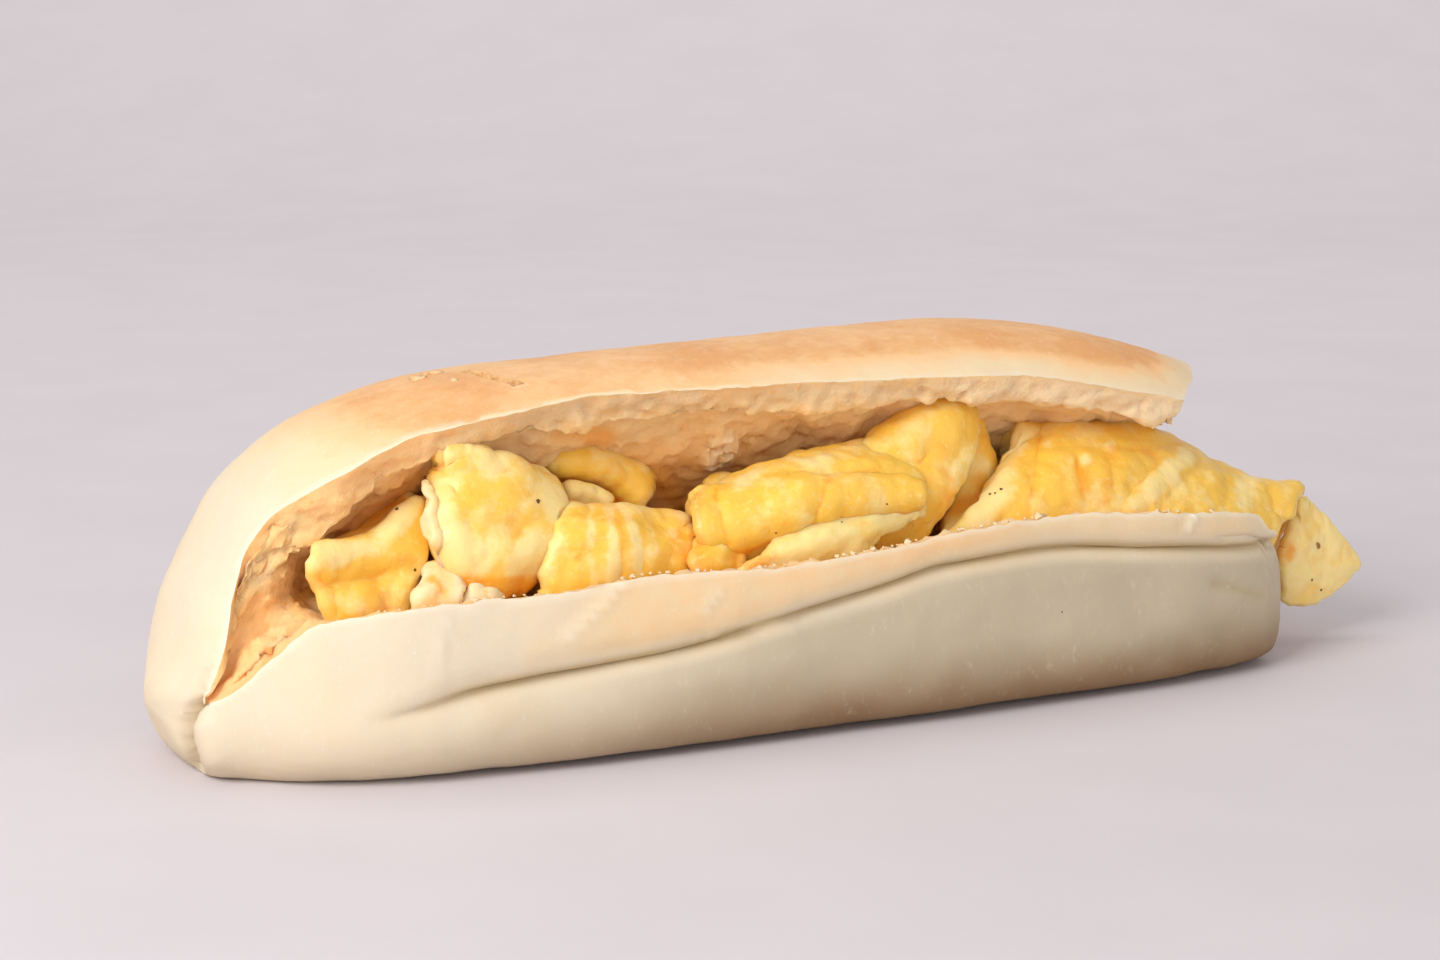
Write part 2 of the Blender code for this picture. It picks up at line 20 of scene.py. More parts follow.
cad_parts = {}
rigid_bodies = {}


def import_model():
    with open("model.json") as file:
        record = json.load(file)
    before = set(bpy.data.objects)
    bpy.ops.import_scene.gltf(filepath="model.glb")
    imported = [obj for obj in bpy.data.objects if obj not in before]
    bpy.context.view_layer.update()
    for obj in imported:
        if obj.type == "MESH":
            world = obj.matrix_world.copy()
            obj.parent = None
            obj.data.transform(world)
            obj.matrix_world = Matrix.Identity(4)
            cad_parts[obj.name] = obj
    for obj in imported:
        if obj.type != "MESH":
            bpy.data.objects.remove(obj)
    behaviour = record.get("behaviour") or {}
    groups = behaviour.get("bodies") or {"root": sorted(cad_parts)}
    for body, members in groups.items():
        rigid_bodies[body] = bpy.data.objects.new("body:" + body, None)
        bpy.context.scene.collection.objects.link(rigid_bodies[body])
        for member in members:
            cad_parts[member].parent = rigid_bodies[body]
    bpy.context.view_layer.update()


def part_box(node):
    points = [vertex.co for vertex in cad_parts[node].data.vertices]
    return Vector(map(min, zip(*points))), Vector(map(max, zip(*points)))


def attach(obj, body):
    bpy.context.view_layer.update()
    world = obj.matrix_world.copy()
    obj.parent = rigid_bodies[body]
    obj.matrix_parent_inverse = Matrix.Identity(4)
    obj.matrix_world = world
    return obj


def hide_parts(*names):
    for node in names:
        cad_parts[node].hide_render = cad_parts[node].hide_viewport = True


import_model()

logging.basicConfig(level=logging.INFO, format="%(message)s")
LOG = logging.getLogger("breakfast_roll")

MM = 0.001
WELD = 0.02 * MM
BODY = "root"
FLOOR_NAME = "studio_floor"

Point = tuple[float, float, float]
Colour = tuple[float, float, float]


class Slot(Enum):
    """Material slots of the record."""

    BREAD = "bread_crust"
    EGG = "egg"
    SHRED = "pale_shred"


class Line:
    """A smooth line through (x, value) points, without overshoot."""

    def __init__(self, *points: tuple[float, float]) -> None:
        """Keeps the points and the slope of the line at each.

        Args:
            points: Knots as (x, value), with x rising.
        """
        self.xs = [float(p[0]) for p in points]
        self.ys = [float(p[1]) for p in points]
        steps = [b - a for a, b in zip(self.xs, self.xs[1:])]
        slopes = [(b - a) / s for a, b, s in zip(self.ys, self.ys[1:], steps)]
        inner = [2 * a * b / (a + b) if a * b > 0 else 0.0 for a, b in zip(slopes, slopes[1:])]
        self.tangents = [slopes[0], *inner, slopes[-1]]

    def at(self, x: float) -> float:
        """Value of the line.

        Args:
            x: Place along the roll.

        Returns:
            The value there, held level past either end.
        """
        xs, ys = self.xs, self.ys
        if x <= xs[0]:
            return ys[0]
        if x >= xs[-1]:
            return ys[-1]
        i = bisect_right(xs, x) - 1
        step = xs[i + 1] - xs[i]
        t = (x - xs[i]) / step
        rise = ys[i] * (1 + 2 * t) + step * self.tangents[i] * t
        fall = ys[i + 1] * (3 - 2 * t) - step * self.tangents[i + 1] * (1 - t)
        return rise * (1 - t) ** 2 + fall * t * t


def ease(low: float, high: float, value: float) -> float:
    """Smooth step.

    Args:
        low: Value at which the step is 0.
        high: Value at which it is 1.
        value: Where to read it.

    Returns:
        A number from 0 to 1.
    """
    t = min(max((value - low) / (high - low), 0.0), 1.0)
    return t * t * (3 - 2 * t)


def grain(point: Vector, size: float, seed: float = 0.0) -> float:
    """Smooth noise of one size.

    Args:
        point: Place in millimetres.
        size: Width of one bump in millimetres.
        seed: Moves the pattern.

    Returns:
        A number from about -1 to 1.
    """
    return noise.noise(point / size + Vector((seed, 1.7 * seed, -seed)))


def pits(point: Vector, size: float, seed: float = 0.0) -> float:
    """Round pits with rims between them.

    Args:
        point: Place in millimetres.
        size: Distance between pits in millimetres.
        seed: Moves the pattern.

    Returns:
        1 in the middle of a pit, 0 on the walls.
    """
    near = noise.voronoi(point / size + Vector((seed, -seed, 2.3 * seed)))[0][0]
    return max(0.0, 1.0 - 1.6 * near)


@dataclass(frozen=True)
class RollShape:
    """The roll's outline, its split, its fold and its creases, as lines along X."""

    left: float = -93.5
    right: float = 98.5
    top: Line = Line((-93.5, 15), (-92.5, 17.7), (-90, 22.6), (-88.5, 26.5), (-85.5, 31.5),
                     (-83, 36), (-80.5, 40.3), (-75, 45.6), (-66, 50.4), (-47, 55),
                     (-20, 56.3), (10, 57.4), (36, 58), (56, 56.6), (76, 53.4), (85, 51.6),
                     (93, 50), (98.5, 51))
    floor: Line = Line((-93.5, 6), (-91, 1.5), (-87, -0.4), (-78, -1.0), (-40, -0.9), (84, -0.6),
                       (92, 0.2), (98.5, 4.5))
    front: Line = Line((-93.5, -7), (-90, -13), (-84, -18), (-75, -25), (-60, -29.5),
                       (-30, -31), (20, -31.5), (60, -30.5), (80, -28), (91, -24), (98.5, -17))
    back: Line = Line((-93.5, 10), (-90, 15.5), (-84, 21), (-75, 27), (-55, 32), (0, 33.5),
                      (60, 32.5), (80, 28), (91, 22), (98.5, 14))
    waist: Line = Line((-93.5, 10), (-80, 15), (-60, 18), (0, 20), (80, 20), (98.5, 16))
    tip_rounding: float = 7.0
    top_fullness: float = 2.4
    base_fullness: Line = Line((-93.5, 3.4), (-80, 3.8), (-60, 5.2), (-30, 6.5), (98.5, 6.5))
    mouth_left: float = -89.4
    mouth_right: float = 108.0
    lip: Line = Line((-89.8, 12.0), (-86, 14.5), (-82, 19), (-75, 25), (-60, 26.7),
                     (-40, 27.2), (-27, 28.3), (-9, 27.6), (11, 28.6), (27, 30.3),
                     (44, 30.9), (63, 29.5), (82, 27.4), (85, 26.4), (88, 24), (92, 22.3),
                     (98.5, 20.8), (108, 19))
    upper: Line = Line((-89.4, 13.5), (-86.9, 20.5), (-85.3, 26.4), (-81.4, 35.6), (-77.8, 39.7),
                       (-65.4, 46.3), (-58, 49), (-48, 50.8), (-26, 52.8), (4, 52.8),
                       (41, 51.9), (60, 48.6), (77, 45.9), (91, 44.6), (108, 43))
    hinge_y: Line = Line((-89.8, -11.5), (-84, -11.5), (-80, -10.5), (-76, -8), (-71, -3.5),
                         (-64, 1.5), (-56, 3), (-48, 4.5), (-30, 7), (70, 8.5), (88, 15),
                         (108, 30))
    hinge_z: Line = Line((-88.8, 12.9), (-80, 24), (-62, 28.5), (-30, 28), (70, 26.5),
                         (108, 27))
    dish: Line = Line((-88.8, 12.1), (-84, 17.5), (-78, 21.5), (-66, 21), (-30, 19.5),
                      (40, 21), (80, 20.5), (108, 20))
    lip_thickness: float = 5.0
    cut_reach: float = 50.0
    fold: Line = Line((-72, 10.5), (-66, 11.2), (-54, 13.9), (-36, 15.7), (-19, 17.2),
                      (-2.5, 20.2), (9.5, 22.4), (24, 25.2), (42, 25.9), (62, 24.2),
                      (90, 21.2), (98.5, 21))
    fold_depth: float = 3.4
    fold_above: float = 1.5
    fold_below: float = 2.9
    fold_sag: float = 0.9
    fold_fade: tuple[float, float] = (-73.0, -50.0)
    tuck: float = 3.2
    tuck_height: float = 1.9
    set_back: float = 9.5
    band_drop: float = 5.2
    band_in: float = 2.2
    left_band_drop: float = 9.0
    left_band_in: float = 1.6
    arch: float = 1.2
    skin_steps: int = 60

    def tip_scale(self, x: float) -> float:
        """Share of the full section that is left at x, 0 at the two tips.

        Args:
            x: Place along the roll.

        Returns:
            A number from 0 to 1.
        """
        near = min(x - self.left, self.right - x)
        t = min(max(1 - near / self.tip_rounding, 0.0), 1.0)
        return (1 - t ** 2.2) ** (1 / 2.2)

    def section(self, x: float) -> tuple[float, float, float, float, float]:
        """Middle and reach of the section at x.

        Args:
            x: Place along the roll.

        Returns:
            Middle y, waist height, half width, reach up and reach down.
        """
        scale = self.tip_scale(x)
        front, back, waist = self.front.at(x), self.back.at(x), self.waist.at(x)
        up = (self.top.at(x) - waist) * scale
        down = (waist - self.floor.at(x)) * scale
        return (front + back) / 2, waist, (back - front) / 2 * scale, up, down

    def front_angle(self, x: float, z: float) -> float:
        """Angle at which the front of the section at x is z high.

        Args:
            x: Place along the roll.
            z: Height in millimetres.

        Returns:
            The angle in radians.
        """
        _, waist, _, up, down = self.section(x)
        above = z > waist
        reach, fullness = (up, self.top_fullness) if above else (down, self.base_fullness.at(x))
        share = min(max((z - waist) / max(reach, 0.01), -1.0), 1.0)
        return math.pi - math.asin(math.copysign(abs(share) ** (fullness / 2), share))

    def skin(self, x: float, angles: np.ndarray) -> np.ndarray:
        """Points of the crust round the section at x, with the fold.

        Args:
            x: Place along the roll.
            angles: Angles round the section, 0 at the back and a quarter turn at the top.

        Returns:
            An array of (x, y, z) rows.
        """
        middle, waist, half, up, down = self.section(x)
        c, s = np.cos(angles), np.sin(angles)
        power = np.where(s > 0, 2 / self.top_fullness, 2 / self.base_fullness.at(x))
        cc, ss = np.sign(c) * np.abs(c) ** power, np.sign(s) * np.abs(s) ** power
        y = middle + half * cc
        z = waist + np.where(ss > 0, up, down) * ss
        facing = np.clip(-cc / 0.35, 0, 1)
        facing = facing * facing * (3 - 2 * facing)
        off = z - self.fold.at(x)
        above = np.exp(-(np.maximum(off, 0) / self.fold_above) ** 1.25)
        below = np.exp(-(np.maximum(-off, 0) / self.fold_below) ** 1.1)
        strength = ease(*self.fold_fade, x) * facing * self.tip_scale(x)
        y = y + self.fold_depth * np.where(off > 0, above, below) * strength
        z = z - self.fold_sag * np.exp(-((off - 1.1) / 1.3) ** 2) * strength
        low = np.clip(1 - z / self.tuck_height, 0, 1) ** 1.6
        y = y + self.tuck * low * facing * ease(-80, -30, x)
        step = np.clip((z - 27) / 8, 0, 1)
        back_by = self.set_back * step * step * (3 - 2 * step) * ease(58, self.right, x)
        return np.stack([x - back_by, y, np.maximum(z, 0.0)], 1)

    def front_y(self, x: float, z: float) -> float:
        """Y of the front crust where it is z high.

        Args:
            x: Place along the roll.
            z: Height in millimetres.

        Returns:
            The place across the roll in millimetres.
        """
        x = min(max(x, self.left + 1), self.right - 1)
        return float(self.skin(x, np.array([self.front_angle(x, z)]))[0, 1])

    def ring(self, x: float) -> np.ndarray:
        """Ring of crust points at x: even round the back, closest along the fold.

        Args:
            x: Place along the roll.

        Returns:
            An array of (x, y, z) rows.
        """
        fold, lip = self.fold.at(x), self.lip.at(max(x, self.mouth_left))
        heights = (max(lip + 2.0, fold + 4.5), fold + 3.2, fold - 3.2, 0.4)
        even = [math.radians(d) for d in (150, 168, 200, 232)]
        share = ease(1.5, 10, min(x - self.left, self.right - x))
        stops = [e + (self.front_angle(x, z) - e) * share for e, z in zip(even, heights)]
        ends = [-math.pi / 2, math.pi / 2, *stops, 1.5 * math.pi]
        counts = (44, 34, 9, 17, 24, 20)
        rows = []
        for start, end, count in zip(ends, ends[1:], counts):
            fine = self.skin(x, np.linspace(start, end, self.skin_steps))
            run = np.concatenate([[0], np.cumsum(np.linalg.norm(np.diff(fine, axis=0), axis=1))])
            places = np.linspace(0, run[-1], count, endpoint=False)
            rows.append(np.stack([np.interp(places, run, fine[:, k]) for k in range(3)], 1))
        return np.concatenate(rows)

    def mouth_outline(self, x: float) -> np.ndarray:
        """Corners of the split's closed outline at x: lower face, hinge, then roof.

        Args:
            x: Place along the roll.

        Returns:
            An array of (y, z) rows. The first and last lie in front of the roll.
        """
        lip, upper = self.lip.at(x), self.upper.at(x)
        lip_y, upper_y = self.front_y(x, lip), self.front_y(x, upper)
        hinge_y, hinge_z, dish = self.hinge_y.at(x), self.hinge_z.at(x), self.dish.at(x)
        gape = max(ease(self.mouth_left, self.mouth_left + 9, x), 0.03)
        run, wall = hinge_y - lip_y, self.lip_thickness * gape
        lower = [(-self.cut_reach, lip + 1.5 * gape), (lip_y, lip),
                 (lip_y + 0.6 * wall, lip - 0.6 * gape),
                 (lip_y + wall + 0.06 * run, lip + (dish - lip) * 0.6),
                 (lip_y + 0.36 * run, dish), (lip_y + 0.66 * run, dish + 1.5 * gape),
                 (lip_y + 0.9 * run, dish + (hinge_z - dish) * 0.55)]
        rise, deep, arch = upper - hinge_z, hinge_y - upper_y, self.arch * gape
        roof = [(upper_y + deep * t, upper - rise * t + arch * math.sin(math.pi * t) ** 0.8)
                for t in (0.86, 0.7, 0.55, 0.4, 0.26)]
        along_x = Vector((x, 0, 0))
        left_end = ease(-62, -74, x)
        drop = self.band_drop + 1.1 * grain(along_x, 8, 8) + 0.6 * grain(along_x, 2.6, 9)
        drop += (self.left_band_drop - drop) * left_end
        drop = min(drop, (0.3 + 0.38 * left_end) * rise)
        band_in = (self.band_in + (self.left_band_in - self.band_in) * left_end) * gape
        band = [(upper_y + band_in + 0.12 * deep, upper - (0.62 + 0.3 * left_end) * drop),
                (upper_y + band_in, upper - drop)]
        edge = [(upper_y, upper), (-self.cut_reach, upper + 9 * gape)]
        return np.array(lower + [(hinge_y, hinge_z)] + roof + band + edge)


SHAPE = RollShape()
SHIFT = Vector((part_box("bread_roll")[0].x / MM - SHAPE.left, -0.93, 0.0))


def placed(point: Sequence[float]) -> Vector:
    """A point of the roll's own frame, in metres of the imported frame."""
    return (Vector(point) + SHIFT) * MM


def own(point: Vector) -> Vector:
    """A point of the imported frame, in millimetres of the roll's own frame."""
    return point / MM - SHIFT


def deselect() -> None:
    """Clears the selection."""
    for obj in bpy.context.view_layer.objects:
        obj.select_set(False)


def make_active(obj: bpy.types.Object) -> None:
    """Selects one object alone and makes it active.

    Args:
        obj: The object.
    """
    deselect()
    obj.select_set(True)
    bpy.context.view_layer.objects.active = obj


def add_object(name: str, mesh: bpy.types.Mesh) -> bpy.types.Object:
    """A new object of this mesh at the origin.

    Args:
        name: Its name.
        mesh: Its mesh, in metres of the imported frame.

    Returns:
        The object, linked to the scene.
    """
    obj = bpy.data.objects.new(name, mesh)
    bpy.context.scene.collection.objects.link(obj)
    return obj


def apply_modifier(obj: bpy.types.Object, kind: str, **settings: object) -> None:
    """Adds one modifier with these settings and applies it.

    Args:
        obj: The object.
        kind: Type of the modifier.
        settings: Values of its settings by name.
    """
    modifier = obj.modifiers.new(kind.lower(), kind)
    for key, value in settings.items():
        setattr(modifier, key, value)
    make_active(obj)
    bpy.ops.object.modifier_apply(modifier=modifier.name)


def cut_away(obj: bpy.types.Object, tool: bpy.types.Object) -> None:
    """Cuts a tool away from a piece and removes the tool.

    Args:
        obj: The piece.
        tool: The closed shape that cuts it.
    """
    apply_modifier(obj, "BOOLEAN", operation="DIFFERENCE", solver="EXACT", object=tool,
                   material_mode="TRANSFER")
    bpy.data.objects.remove(tool)


def loft(name: str, rings: Sequence[np.ndarray], poles: Sequence[Sequence[float]] = (),
         ) -> bpy.types.Mesh:
    """Closed mesh through rings of points.

    Args:
        name: The mesh's name.
        rings: Rings with the same number of points, in the roll's own frame.
        poles: A point that closes each end, or nothing for flat ends.

    Returns:
        The mesh, with its faces pointing out.
    """
    bm = bmesh.new()
    rows = [[bm.verts.new(placed(p)) for p in ring] for ring in rings]
    count = len(rows[0])
    for near, far in zip(rows, rows[1:]):
        for i in range(count):
            j = (i + 1) % count
            bm.faces.new((near[i], near[j], far[j], far[i]))
    for k, row in enumerate((rows[0], rows[-1])):
        if not poles:
            bm.faces.new(row)
            continue
        tip = bm.verts.new(placed(poles[k]))
        for i in range(count):
            bm.faces.new((row[i], row[(i + 1) % count], tip))
    bmesh.ops.remove_doubles(bm, verts=bm.verts, dist=WELD)
    bmesh.ops.recalc_face_normals(bm, faces=bm.faces)
    mesh = bpy.data.meshes.new(name)
    bm.to_mesh(mesh)
    bm.free()
    return mesh


def coordinates(mesh: bpy.types.Mesh) -> np.ndarray:
    """Places of a mesh's vertices, as rows.

    Args:
        mesh: The mesh.

    Returns:
        An array of (x, y, z) rows.
    """
    flat = np.empty(len(mesh.vertices) * 3)
    mesh.vertices.foreach_get("co", flat)
    return flat.reshape(-1, 3)


def set_coordinates(mesh: bpy.types.Mesh, rows: np.ndarray) -> None:
    """Moves a mesh's vertices to these places."""
    mesh.vertices.foreach_set("co", np.asarray(rows, float).ravel())
    mesh.update()


def normals(mesh: bpy.types.Mesh) -> np.ndarray:
    """Normals of a mesh's vertices, as rows.

    Args:
        mesh: The mesh.

    Returns:
        An array of (x, y, z) rows.
    """
    flat = np.empty(len(mesh.vertices) * 3)
    mesh.vertices.foreach_get("normal", flat)
    return flat.reshape(-1, 3)


def push(mesh: bpy.types.Mesh, amount: Callable[[Vector, int], float]) -> None:
    """Moves each vertex along its normal.

    Args:
        mesh: The mesh, in metres.
        amount: Millimetres outwards, from a point in the own frame and the vertex's index.
    """
    rows, outward = coordinates(mesh), normals(mesh)
    moves = np.array([amount(own(Vector(row)), i) for i, row in enumerate(rows)])
    set_coordinates(mesh, rows + outward * moves[:, None] * MM)


def relax(mesh: bpy.types.Mesh, weight: np.ndarray, rounds: int) -> None:
    """Smooths a mesh, each vertex as far as its weight says.

    Args:
        mesh: The mesh.
        weight: A number from 0 to 1 for each vertex.
        rounds: How many times it is smoothed.
    """
    edges = np.empty(len(mesh.edges) * 2, int)
    mesh.edges.foreach_get("vertices", edges)
    a, b = edges.reshape(-1, 2).T
    rows = coordinates(mesh)
    count = np.bincount(a, minlength=len(rows)) + np.bincount(b, minlength=len(rows))
    for _ in range(rounds):
        total = np.zeros_like(rows)
        np.add.at(total, a, rows[b])
        np.add.at(total, b, rows[a])
        mean = total / np.maximum(count, 1)[:, None]
        rows += (mean - rows) * weight[:, None] * 0.6
    set_coordinates(mesh, rows)


def set_mask(mesh: bpy.types.Mesh, name: str, values: np.ndarray) -> None:
    """Stores one number for each vertex under a name that materials read."""
    layer = mesh.attributes.new(name, "FLOAT", "POINT")
    layer.data.foreach_set("value", np.asarray(values, np.float32))


def shade(obj: bpy.types.Object, angle: float) -> None:
    """Shades an object smooth, apart from edges sharper than an angle in degrees."""
    make_active(obj)
    bpy.ops.object.shade_smooth_by_angle(angle=math.radians(angle))


class Nodes:
    """Builds one material's node tree."""

    def __init__(self, name: str) -> None:
        """Starts a material with its Principled shader.

        Args:
            name: The material's name.
        """
        self.material = bpy.data.materials.new(name)
        self.material.use_nodes = True
        self.tree = self.material.node_tree
        self.shader = self.tree.nodes["Principled BSDF"]
        self.place = self.tree.nodes.new("ShaderNodeTexCoord").outputs["Object"]

    def link(self, source: bpy.types.NodeSocket, target: bpy.types.NodeSocket) -> None:
        """Joins two sockets."""
        self.tree.links.new(source, target)

    def put(self, socket: bpy.types.NodeSocket, value: object) -> None:
        """Sets a socket to a value, or links it to another socket.

        Args:
            socket: The input socket.
            value: A number, a colour or another socket.
        """
        if isinstance(value, bpy.types.NodeSocket):
            self.link(value, socket)
        elif isinstance(value, tuple):
            socket.default_value = (*value, 1.0) if len(value) == 3 else value
        else:
            socket.default_value = value

    def mask(self, name: str) -> bpy.types.NodeSocket:
        """A mask stored on the mesh.

        Args:
            name: Name of the mask.

        Returns:
            The socket of the result.
        """
        node = self.tree.nodes.new("ShaderNodeAttribute")
        node.attribute_name = name
        return node.outputs["Fac"]

    def stretched(self, scale: Point) -> bpy.types.NodeSocket:
        """Object coordinates, scaled along each axis.

        Args:
            scale: Scale along X, Y and Z.

        Returns:
            The socket of the result.
        """
        node = self.tree.nodes.new("ShaderNodeMapping")
        self.link(self.place, node.inputs["Vector"])
        node.inputs["Scale"].default_value = scale
        return node.outputs["Vector"]

    def noise(self, size: float, detail: float = 3.0, rough: float = 0.55,
              place: bpy.types.NodeSocket | None = None) -> bpy.types.NodeSocket:
        """Noise whose bumps are size millimetres wide.

        Args:
            size: Width of a bump.
            detail: Levels of finer noise.
            rough: Share of the finer levels.
            place: Coordinates, or nothing for the object's own.

        Returns:
            The socket of the result.
        """
        node = self.tree.nodes.new("ShaderNodeTexNoise")
        self.link(place or self.place, node.inputs["Vector"])
        node.inputs["Scale"].default_value = 1.0 / (size * MM)
        node.inputs["Detail"].default_value = detail
        node.inputs["Roughness"].default_value = rough
        return node.outputs["Fac"]

    def cells(self, size: float) -> bpy.types.NodeSocket:
        """Distance in a pattern of cells, size millimetres wide.

        Args:
            size: Width of a cell.

        Returns:
            The socket of the result.
        """
        node = self.tree.nodes.new("ShaderNodeTexVoronoi")
        self.link(self.place, node.inputs["Vector"])
        node.inputs["Scale"].default_value = 1.0 / (size * MM)
        return node.outputs["Distance"]

    def span(self, value: bpy.types.NodeSocket, low: float, high: float,
             first: float = 0.0, last: float = 1.0) -> bpy.types.NodeSocket:
        """Maps low to first and high to last, softly and clamped.

        Args:
            value: Value to map.
            low: Value that gives the first.
            high: Value that gives the last.
            first: Result at low.
            last: Result at high.

        Returns:
            The socket of the result.
        """
        node = self.tree.nodes.new("ShaderNodeMapRange")
        node.interpolation_type = "SMOOTHSTEP"
        self.link(value, node.inputs["Value"])
        for key, number in (("From Min", low), ("From Max", high), ("To Min", first),
                            ("To Max", last)):
            node.inputs[key].default_value = number
        return node.outputs["Result"]

    def math(self, kind: str, a: object, b: object) -> bpy.types.NodeSocket:
        """One sum of two values.

        Args:
            kind: Name of the operation.
            a: First value.
            b: Second value.

        Returns:
            The socket of the result.
        """
        node = self.tree.nodes.new("ShaderNodeMath")
        node.operation = kind
        self.put(node.inputs[0], a)
        self.put(node.inputs[1], b)
        return node.outputs[0]

    def mix(self, factor: object, a: object, b: object) -> bpy.types.NodeSocket:
        """Mix of two colours.

        Args:
            factor: Share of the second.
            a: First colour.
            b: Second colour.

        Returns:
            The socket of the result.
        """
        node = self.tree.nodes.new("ShaderNodeMix")
        node.data_type = "RGBA"
        self.put(node.inputs[0], factor)
        self.put(node.inputs[6], a)
        self.put(node.inputs[7], b)
        return node.outputs[2]

    def ramp(self, value: bpy.types.NodeSocket, *stops: tuple[float, Colour],
             ) -> bpy.types.NodeSocket:
        """Colour read from a row of stops.

        Args:
            value: Where to read it, from 0 to 1.
            stops: Places and colours, in rising order.

        Returns:
            The socket of the result.
        """
        node = self.tree.nodes.new("ShaderNodeValToRGB")
        self.link(value, node.inputs["Fac"])
        elements = node.color_ramp.elements
        while len(elements) < len(stops):
            elements.new(0.5)
        for element, (place, colour) in zip(elements, stops):
            element.position = place
            element.color = (*colour, 1)
        return node.outputs["Color"]

    def bump(self, height: bpy.types.NodeSocket, strength: float, distance: float,
             below: bpy.types.NodeSocket | None = None) -> bpy.types.NodeSocket:
        """Bumps of a height pattern, laid over those below.

        Args:
            height: The pattern.
            strength: Strength from 0 to 1.
            distance: Height in millimetres.
            below: Normal of the bumps below, if any.

        Returns:
            The socket of the result.
        """
        node = self.tree.nodes.new("ShaderNodeBump")
        node.inputs["Strength"].default_value = strength
        node.inputs["Distance"].default_value = distance * MM
        self.link(height, node.inputs["Height"])
        if below is not None:
            self.link(below, node.inputs["Normal"])
        return node.outputs["Normal"]

    def finish(self, colour: bpy.types.NodeSocket, roughness: object,
               normal: bpy.types.NodeSocket, depth: float, glow: Colour,
               specular: float, coat: float = 0.0) -> bpy.types.Material:
        """Sets the shader and returns the material.

        Args:
            colour: Base colour.
            roughness: A number or a socket.
            normal: Bumped normal.
            depth: Share of light that enters the food.
            glow: How far each colour travels in it, in millimetres.
            specular: Level of the mirror-like part.
            coat: Weight of a moist film.

        Returns:
            The finished material.
        """
        inputs = self.shader.inputs
        self.put(inputs["Base Color"], colour)
        self.put(inputs["Roughness"], roughness)
        self.link(normal, inputs["Normal"])
        inputs["Subsurface Weight"].default_value = depth
        inputs["Subsurface Radius"].default_value = [g * MM for g in glow]
        inputs["Subsurface Scale"].default_value = 1.0
        inputs["Specular IOR Level"].default_value = specular
        inputs["Coat Weight"].default_value = coat
        inputs["Coat Roughness"].default_value = 0.3
        return self.material


@dataclass(frozen=True)
class CrustFinish:
    """Soft baked crust: golden on the crown, cream on the sides, browned at the base; shade is
    painted under the fold, in its crease and low on the right, and a highlight along the upper
    left cut edge.
    """

    cream: Colour = (0.78, 0.66, 0.48)
    light: Colour = (0.84, 0.64, 0.38)
    golden: Colour = (0.90, 0.545, 0.26)
    toasted: Colour = (0.78, 0.38, 0.14)
    brown: Colour = (0.25, 0.14, 0.06)
    # Colour of the painted shade in the fold's crease and in dents.
    crease: Colour = (0.50, 0.37, 0.17)
    # Colour of the painted shade below the fold, on the lower front.
    painted_shade: Colour = (0.46, 0.38, 0.265)
    pale: Colour = (0.90, 0.82, 0.66)

    def build(self) -> bpy.types.Material:
        """Makes the material.

        Returns:
            The material.
        """
        n = Nodes("bread_crust")
        toast = n.mask("toast")
        mottled = n.math("ADD", toast, n.span(n.noise(14, 4), 0.3, 0.7, -0.10, 0.10))
        mottled = n.math("ADD", mottled, n.span(n.noise(2.2, 4, 0.65), 0.3, 0.7, -0.05, 0.05))
        colour = n.ramp(mottled, (0.0, self.cream), (0.38, self.light), (0.75, self.golden),
                        (1.0, self.toasted))
        speck = n.span(n.noise(0.7, 2), 0.62, 0.78, 0, 0.35)
        colour = n.mix(speck, colour, self.pale)
        # Painted shade below the fold.
        colour = n.mix(n.mask("painted_shade"), colour, self.painted_shade)
        # Darker base: baked brown, made stronger and higher towards the right end as painted
        # shade.
        colour = n.mix(n.mask("browned_and_shade"), colour, self.brown)
        # Painted shade in the crease and in dents.
        colour = n.mix(n.mask("crease"), colour, self.crease)
        # Pale torn edge of the crust; at the upper left end it is also a painted highlight.
        colour = n.mix(n.mask("torn"), colour, self.pale)
        fine = n.span(n.noise(1.6, 4, 0.7, n.stretched((1.0, 1.0, 0.6))), 0.56, 0.74, 0, 0.14)
        colour = n.mix(fine, colour, self.pale)
        bump = n.bump(n.noise(7, 3), 0.35, 0.5)
        bump = n.bump(n.noise(0.9, 4, 0.65), 0.22, 0.12, bump)
        rough = n.span(n.noise(3, 3), 0.3, 0.7, 0.52, 0.66)
        return n.finish(colour, rough, bump, 0.12, (2.0, 1.2, 0.6), 0.3)


